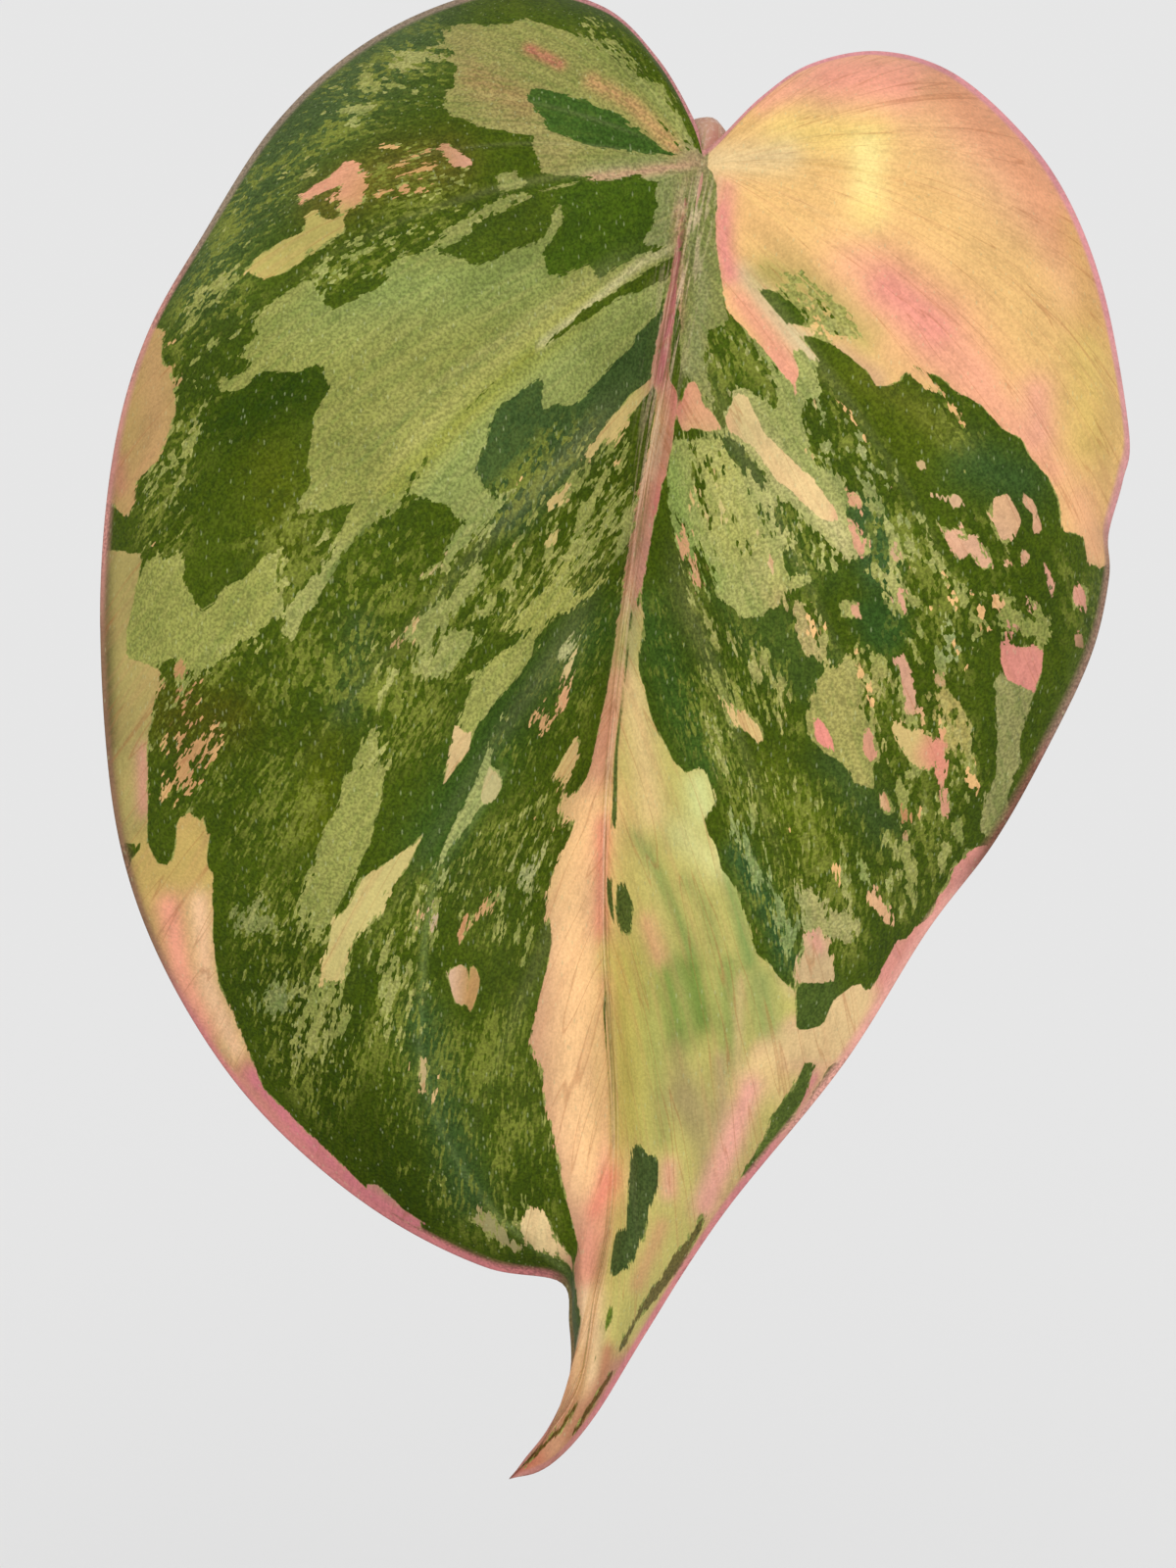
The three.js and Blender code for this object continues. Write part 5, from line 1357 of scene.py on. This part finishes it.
def downy(name, codes, along_scale, sheen):
    """A softly hairy skin: three colours in long streaks under a fine pale down."""
    material, tree = finish(name)
    spot = add(tree, "ShaderNodeTexCoord", out="Object")
    long_way = add(tree, VECTOR, {0: add(tree, "ShaderNodeUVMap", uv_map="along"),
                                  1: along_scale}, operation="MULTIPLY")
    streaks = add(tree, NOISE, {"Vector": long_way, "Scale": 1.0, "Detail": 4.0})
    down = add(tree, NOISE, {"Vector": spot, "Scale": 3600.0, "Detail": 2.0})
    tone = codes[0]
    for share, code in ((add(tree, RANGE, {0: streaks, 1: 0.42, 2: 0.52}), codes[1]),
                        (add(tree, RANGE, {0: streaks, 1: 0.55, 2: 0.62}), codes[2]),
                        (add(tree, RANGE, {0: down, 1: 0.5, 2: 0.75, 4: 0.5}), "#ead3c4")):
        tone = add(tree, MIX, {0: share, 6: tone, 7: code}, **COLOUR)
    bump = add(tree, "ShaderNodeBump", {"Height": down, "Strength": 0.6, "Distance": 0.00012})
    surface = add(tree, "ShaderNodeBsdfPrincipled", {
        "Base Color": tone, "Roughness": 0.6, "Normal": bump, "Sheen Weight": sheen,
        "Sheen Roughness": 0.4, "Specular IOR Level": 0.2})
    add(tree, "ShaderNodeOutputMaterial", {"Surface": surface})
    return material


# The stalks' skin: pinkish brown and olive in long streaks, with a pale fuzz.
stalk_skin = downy("downy_stalk_skin", ("#b9806f", "#c39a80", "#8f8a52"), (0.14, 0.9, 1), 0.3)

LEAVES["leaf_front"] = front
for name, (stem_name, node, rise) in ON_STEMS.items():
    leaf, stem = LEAVES[name], STEMS[stem_name]
    joint = np.array(leaf["joint"], float)
    axes = leaf_frame(leaf)
    size = leaf["length"] / FRONT_OUTLINE["length"]

    def local(x, y, z):
        return joint + axes @ np.array([x, y, z], float)

    at = on_path(stem["line"], np.array(node))
    ahead = unit(on_path(stem["line"], np.array(node + 0.004)) - at)
    out = joint - at
    out = unit(out - ahead * (out @ ahead))
    thick = np.interp(node, (0, 1), stem["radii"]) + NODE_SWELL
    route = [at + out * (thick - 0.5), at + out * (thick + 2.9)]
    if name == "leaf_front":
        route += [local(*p) for p in LEAD]
    else:
        back = local(*PETIOLE_BACK * size)
        route += [(route[1] + back) / 2 + np.array([0, 0, rise]), back]
    x, y, z = PETIOLE_CREST
    route += [local(x * size, y * size, z), local(*PETIOLE_JOINT)]
    for share, sink in zip(MIDRIB_SHARES, MIDRIB_SINKS):
        x, y = on_path(leaf["rib"], np.array(share))
        sag = leaf["length"] * leaf["form"]["droop"] * (y / leaf["length"]) ** 2
        route.append(local(x, -y, -sag - sink))
    line = smooth_path(route, 600, centripetal=True)
    whole = np.linalg.norm(np.diff(line, axis=0), axis=1).sum()
    share = np.linspace(0, 1, int(whole / STALK_STEP))
    blade_from = 1 - MIDRIB_SHARES[-1] * leaf["length"] / whole
    radius = (PETIOLE_RADIUS * math.sqrt(size)
              + FOOT_WIDENING * bell(share * whole / FOOT_LENGTH))
    radius = radius * (1 - MIDRIB_THINNING * smoothstep(share, blade_from, 1))
    stalk = tube(name + "_petiole", on_path(line, share), radius, STALK_SIDES)
    stalk.data.materials.append(stalk_skin)
    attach(stalk, "root")


# Shoots: at the end of each vine the next leaf, still rolled up like an umbrella, pink and cream;
# the thin pink sheath that it grew in is not built.
SHOOTS = {"shoot_main": ("stem_main", [(84, 5, 219), (92, 2, 230)], 1.9),
          "shoot_back": ("stem_back", [(44, 33, 77), (50, 37, 74.5)], 1.5),
          "shoot_front": ("stem_front", [(36, -24, 93), (43, -26, 94)], 1.5)}
SHOOT_POINTS, SHOOT_SIDES = 90, 36
SHOOT_TIP = 0.3
ROLL_EDGE, ROLL_TURNS = 0.13, 1.3
# A rolled leaf shows its smooth underside: salmon, cream and sage streaks under a fine down.
rolled = downy("rolled_leaf_underside", ("#e0a08c", "#8f9a4c", "#d98a84"), (0.12, 1.1, 1), 0.2)
for name, (stem_name, tips, radius) in SHOOTS.items():
    line = STEMS[stem_name]["line"]
    ahead = unit(line[-1] - line[-2])
    path = smooth_path([line[-1] - ahead * 0.6, line[-1] + ahead * 3, *tips], SHOOT_POINTS,
                       centripetal=True)
    t = np.linspace(0, 1, SHOOT_POINTS)
    swell = np.maximum(radius * (1 - 0.25 * (1 - t) ** 6) * (1 - t**2.2), SHOOT_TIP)

    def wrap(t, angle):
        turn = (angle / (2 * math.pi) + ROLL_TURNS * t) % 1
        return radius * ROLL_EDGE * (turn - 0.5) * (1 - t**3)

    shoot = tube(name + "_roll", path, swell, SHOOT_SIDES, wrap)
    shoot.data.materials.append(rolled)
    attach(shoot, "root")
    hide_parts(name)


# The potting mix: dark damp peat with coir, chips of bark, white perlite and fine grit, filling
# the pot to 10 mm below its rim.
SOIL_TOP = 62.0
SOIL_GAP = 0.15
# Its lumps and crumbs, and the low mound round the foot of each vine, in millimetres.
LUMP, CRUMB = 0.55, 0.11
CRUMB_WAVES = 14
MOUND, MOUND_WIDTH = 1.1, 4
SOIL_RINGS, SOIL_SECTORS = 46, 150
# The pot's inside: its radius at two heights.
CAVITY_HEIGHTS, CAVITY_RADII = (6.0, 70.8), (28.8, 34.8)
SOIL_FLOOR = 4.3


def cavity_radius(z):
    return float(np.interp(z, CAVITY_HEIGHTS, CAVITY_RADII))


rng = np.random.default_rng(8)
waves = rng.uniform(0.9, 3.2, (CRUMB_WAVES, 2)) * rng.choice([-1, 1], (CRUMB_WAVES, 2))
phases = rng.uniform(0, 6.3, CRUMB_WAVES)
outer = cavity_radius(SOIL_TOP) - SOIL_GAP
angle = np.linspace(0, 2 * math.pi, SOIL_SECTORS, endpoint=False)
r, a = np.meshgrid(np.linspace(0, outer, SOIL_RINGS), angle, indexing="ij")
x, y = r * np.cos(a), r * np.sin(a)
lump = np.sin(x * 0.61 + 1.3) * np.cos(y * 0.53) + np.sin(x * 0.23 - y * 0.31)
crumbs = sum(np.sin(x * u + y * v + p) for (u, v), p in zip(waves, phases)) * CRUMB
z = SOIL_TOP + LUMP * lump + crumbs
for stem in STEMS.values():
    foot = on_path(stem["line"], np.array(0.08))
    z = z + MOUND * bell(np.hypot(x - foot[0], y - foot[1]) / MOUND_WIDTH)
# Down the pot's wall and under the bed.
rings = [np.stack([x, y, z], -1).reshape(-1, 3)]
for wide, high in ((outer - 0.05, 55.0), (cavity_radius(30.0) - 0.3, 30.0), (28.5, 6.3),
                   (27.0, SOIL_FLOOR)):
    rings.append(np.stack([wide * np.cos(angle), wide * np.sin(angle),
                           np.full(SOIL_SECTORS, high)], -1))
points = np.concatenate(rings + [[[0, 0, SOIL_FLOOR]]])
ring = np.arange(len(points) - 1).reshape(-1, SOIL_SECTORS)
turned = np.roll(ring, -1, axis=1)
faces = np.stack([ring[:-1], ring[1:], turned[1:], turned[:-1]], -1).reshape(-1, 4).tolist()
faces += [(int(q), int(p), len(points) - 1) for p, q in zip(ring[-1], turned[-1])]
soil_bed = in_scene("soil_bed", smooth_mesh("soil_bed", points, faces))
soil_bed.data.materials.append(grained("damp_peat", "#1f150e", "#4a3626", 700.0, 0.9, 0.0008))
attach(soil_bed, "root")
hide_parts("soil")


def crumb(name, size, seed, rounds):
    """One irregular piece of the mix, to be scattered."""
    shape = bmesh.new()
    bmesh.ops.create_icosphere(shape, subdivisions=rounds, radius=1)
    pick = np.random.default_rng(seed)
    for vertex in shape.verts:
        push = pick.uniform(0.7, 1.15)
        vertex.co = [vertex.co[k] * push * size[k] * MM for k in range(3)]
    mesh = bpy.data.meshes.new(name)
    shape.to_mesh(mesh)
    shape.free()
    return in_scene(name, mesh)


def settle(body):
    """Makes what an object's modifiers build into its own plain mesh."""
    bpy.context.view_layer.update()
    mesh = bpy.data.meshes.new_from_object(body.evaluated_get(
        bpy.context.evaluated_depsgraph_get()))
    body.modifiers.clear()
    body.data = mesh


def scattered(name, base, piece, material, density, low, high, seed):
    """Copies of a piece scattered on the upper faces of a base, joined as one plain mesh."""
    group = bpy.data.node_groups.new(name, "GeometryNodeTree")
    face = group.interface
    face.new_socket("Geometry", in_out="INPUT", socket_type="NodeSocketGeometry")
    for title, kind in (("Piece", "NodeSocketObject"), ("Density", "NodeSocketFloat"),
                        ("Smallest", "NodeSocketFloat"), ("Largest", "NodeSocketFloat"),
                        ("Seed", "NodeSocketInt")):
        face.new_socket(title, in_out="INPUT", socket_type=kind)
    face.new_socket("Geometry", in_out="OUTPUT", socket_type="NodeSocketGeometry")
    given = add(group, "NodeGroupInput").node.outputs
    upward = add(group, "ShaderNodeSeparateXYZ", {0: add(group, "GeometryNodeInputNormal")},
                 out="Z")
    flat_enough = add(group, "FunctionNodeCompare", {"A": upward, "B": 0.3}, data_type="FLOAT",
                      operation="GREATER_THAN")
    sown = add(group, "GeometryNodeDistributePointsOnFaces", {
        "Mesh": given["Geometry"], "Density": given["Density"], "Seed": given["Seed"],
        "Selection": flat_enough})
    turn = add(group, "FunctionNodeRandomValue", {1: (6.28, 6.28, 6.28), "Seed": given["Seed"]},
               data_type="FLOAT_VECTOR")
    grow = add(group, "FunctionNodeRandomValue", {
        2: given["Smallest"], 3: given["Largest"], "Seed": given["Seed"]}, out=1,
        data_type="FLOAT")
    shape = add(group, "GeometryNodeObjectInfo", {"Object": given["Piece"]}, out="Geometry")
    placed = add(group, "GeometryNodeInstanceOnPoints", {
        "Points": sown, "Instance": shape, "Rotation": turn, "Scale": grow})
    real = add(group, "GeometryNodeRealizeInstances", {"Geometry": placed})
    coloured = add(group, "GeometryNodeSetMaterial", {"Geometry": real, "Material": material})
    add(group, "NodeGroupOutput", {"Geometry": coloured})
    holder = in_scene(name, base.data)
    modifier = holder.modifiers.new("scatter", "NODES")
    modifier.node_group = group
    values = {"Piece": piece, "Density": density, "Smallest": low, "Largest": high, "Seed": seed}
    for item in face.items_tree:
        if item.in_out == "INPUT" and item.name in values:
            modifier[item.identifier] = values[item.name]
    settle(holder)
    holder.data.name = name
    bpy.data.objects.remove(piece)
    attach(holder, "root")


# What lies on the bed: its finish, one piece's half sizes in millimetres, the seed and the fineness
# of its shape, how many there are in a square metre, the smallest one's scale, and the seed of
# their places.
LOOSE = {
    "bark_chips": (grained("bark_chip", "#4a2f1c", "#8a6240", 500.0, 0.85, 0.0005),
                   (2.3, 1.5, 0.7), 1, 1, 62000.0, 0.4, 3),
    "perlite_grains": (grained("perlite", "#d9d6cd", "#f2f0ea", 1500.0, 0.9, 0.0003),
                       (0.95, 0.9, 0.8), 2, 2, 60000.0, 0.35, 4),
    "grit_grains": (grained("grit", "#6e6a60", "#a39c8c", 1200.0, 0.7, 0.0002),
                    (0.6, 0.5, 0.4), 6, 1, 110000.0, 0.4, 5),
    "coir_fibres": (grained("coir_fibre", "#6b4a2a", "#a5794a", 1500.0, 0.9, 0.0002),
                    (4.2, 0.16, 0.14), 7, 1, 50000.0, 0.4, 6),
}
for name, (material, size, own_seed, rounds, density, smallest, seed) in LOOSE.items():
    piece = crumb(name + "_piece", size, own_seed, rounds)
    scattered(name, soil_bed, piece, material, density, smallest, 1.0, seed)


# The pot: wheel-thrown stoneware, 78 mm across its stepped lip, in a satin off-white glaze with
# iron specks. The glaze is wiped off the foot, and four drain holes go through the bottom.
# Radius and height, from the middle of its underside out, up, over the lip and down inside.
PROFILE = [(0, 0.5), (27, 0.5), (28, 0), (30.4, 0), (31.3, 0.35), (31.8, 1), (32.2, 2.2),
           (33.2, 14), (34.3, 27), (35.4, 40), (36.5, 53), (37.4, 62.8), (37.75, 64.4),
           (38.3, 65.2), (38.8, 65.8), (39, 66.6), (39, 69.9), (38.75, 71), (38.2, 71.7),
           (37.4, 72), (36.5, 71.95), (35.7, 71.5), (35.15, 70.6), (34.75, 69), (34.2, 63),
           (32.4, 44), (30.6, 25), (29.3, 11), (28.6, 6.6), (28, 5), (26.8, 4.2), (25, 4), (0, 4)]
PROFILE_STEP = 1.2
POT_SIDES = 144
# The shallow rings that the potter's fingers leave on the outside.
FINGER_RINGS, FINGER_PITCH = 0.09, 2.1
DRAIN_RADIUS, DRAIN_RING, DRAIN_COUNT = 4.0, 19.0, 4
DRILL_SIDES, DRILL_LENGTH = 40, 0.02
corners = np.array(PROFILE[1:-1], float)
profile = [corners[-1:]]
for a, b in reversed(list(zip(corners, corners[1:]))):
    steps = max(1, int(np.linalg.norm(b - a) / PROFILE_STEP))
    profile.insert(0, a + (b - a) * np.linspace(0, 1, steps, endpoint=False)[:, None])
r, z = np.hsplit(np.concatenate(profile), 2)
angle = np.linspace(0, 2 * math.pi, POT_SIDES, endpoint=False)
radius = r + FINGER_RINGS * np.sin(z * FINGER_PITCH + 0.3 * np.sin(angle)) * smoothstep(r, 30, 33)
rings = np.stack([radius * np.cos(angle), radius * np.sin(angle), z * np.ones(POT_SIDES)], -1)
ends = [[0, 0, PROFILE[0][1]], [0, 0, PROFILE[-1][1]]]
pot = in_scene("stoneware_pot", closed_rings("stoneware_pot", rings, ends))
for k in range(DRAIN_COUNT):
    turn = 2 * math.pi * (k + 0.5) / DRAIN_COUNT
    bpy.ops.mesh.primitive_cylinder_add(
        vertices=DRILL_SIDES, radius=DRAIN_RADIUS * MM, depth=DRILL_LENGTH,
        location=(DRAIN_RING * math.cos(turn) * MM, DRAIN_RING * math.sin(turn) * MM, 0))
    drill = bpy.context.object
    cut = pot.modifiers.new("drain", "BOOLEAN")
    cut.object = drill
    cut.operation = "DIFFERENCE"
    cut.solver = "EXACT"
    settle(pot)
    bpy.data.objects.remove(drill)

# Satin stoneware glaze: warm off-white, soft in its gloss, with iron specks of many sizes that
# melted through it. The wiped foot shows the sandy clay body.
glaze, tree = finish("satin_glaze_with_iron_specks")
spot = add(tree, "ShaderNodeTexCoord", out="Object")
height = add(tree, "ShaderNodeSeparateXYZ", {0: spot}, out="Z")
cloud = add(tree, NOISE, {"Vector": spot, "Scale": 60.0, "Detail": 4.0})
fine = add(tree, NOISE, {"Vector": spot, "Scale": 1800.0, "Detail": 3.0})
specks = add(tree, "ShaderNodeTexVoronoi", {"Vector": spot, "Scale": 330.0})
picked = add(tree, "ShaderNodeSeparateColor", {0: specks.node.outputs["Color"]})
reach = add(tree, RANGE, {0: picked, 1: 0.55, 2: 1.0, 3: 0.0, 4: 0.22})
specks = add(tree, MATH, {0: reach, 1: specks}, operation="SUBTRACT")
clay = add(tree, MIX, {0: add(tree, RANGE, {0: fine, 1: 0.3, 2: 0.7}),
                       6: "#a98a68", 7: "#c4a684"}, **COLOUR)
edge = add(tree, MATH, {0: cloud, 1: 0.0016, 2: 0.0022}, operation="MULTIPLY_ADD")
above = add(tree, MATH, {0: height, 1: edge}, operation="SUBTRACT")
bare = add(tree, RANGE, {0: above, 1: 0.0001, 2: 0.0004, 3: 1.0, 4: 0.0})
coat = "#dedad0"
for share, code in ((add(tree, RANGE, {0: cloud, 1: 0.35, 2: 0.65}), "#e9e6de"),
                    (add(tree, RANGE, {0: specks, 1: 0.0, 2: 0.08, 4: 0.8}), "#6f5138"),
                    (bare, clay)):
    coat = add(tree, MIX, {0: share, 6: coat, 7: code}, **COLOUR)
bump = add(tree, "ShaderNodeBump", {"Height": fine, "Strength": 0.25, "Distance": 0.0001})
surface = add(tree, "ShaderNodeBsdfPrincipled", {
    "Base Color": coat, "Roughness": add(tree, RANGE, {0: bare, 3: 0.3, 4: 0.85}),
    "Normal": bump, "Coat Weight": 0.25, "Coat Roughness": 0.15})
add(tree, "ShaderNodeOutputMaterial", {"Surface": surface})
pot.data.materials.clear()
pot.data.materials.append(glaze)
pot.data.polygons.foreach_set("use_smooth", [True] * len(pot.data.polygons))
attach(pot, "root")
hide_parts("pot")


# The floor and the light: a plain pale floor, bright even daylight, and one broad soft lamp in
# front, a little to the left and 36 degrees up, so that the plant's shadow falls short of what the
# camera sees behind it.
FLOOR_REACH = 12.0
FLOOR_GREY = 0.79
DAYLIGHT = 0.78
LAMP_STRENGTH, LAMP_BREADTH = 1.2, math.radians(35)
LAMP_TILT, LAMP_TURN = math.radians(54), math.radians(-4)
floor_mesh = bpy.data.meshes.new("floor")
floor_mesh.from_pydata([(x * FLOOR_REACH, y * FLOOR_REACH, 0)
                        for x, y in ((-1, -1), (1, -1), (1, 1), (-1, 1))], [], [(0, 1, 2, 3)])
pale, tree = finish("pale_floor")
surface = add(tree, "ShaderNodeBsdfPrincipled", {
    "Base Color": (FLOOR_GREY, FLOOR_GREY, FLOOR_GREY, 1), "Roughness": 1.0,
    "Specular IOR Level": 0.0})
add(tree, "ShaderNodeOutputMaterial", {"Surface": surface})
floor_mesh.materials.append(pale)
in_scene("floor", floor_mesh)

world = bpy.data.worlds.new("daylight")
world.use_nodes = True
world.node_tree.nodes["Background"].inputs["Color"].default_value = (1, 1, 1, 1)
world.node_tree.nodes["Background"].inputs["Strength"].default_value = DAYLIGHT
bpy.context.scene.world = world
lamp = in_scene("soft_lamp", bpy.data.lights.new("soft_lamp", "SUN"))
lamp.data.energy = LAMP_STRENGTH
lamp.data.angle = LAMP_BREADTH
lamp.rotation_euler = (LAMP_TILT, 0, LAMP_TURN)
bpy.context.scene.view_settings.view_transform = "Standard"
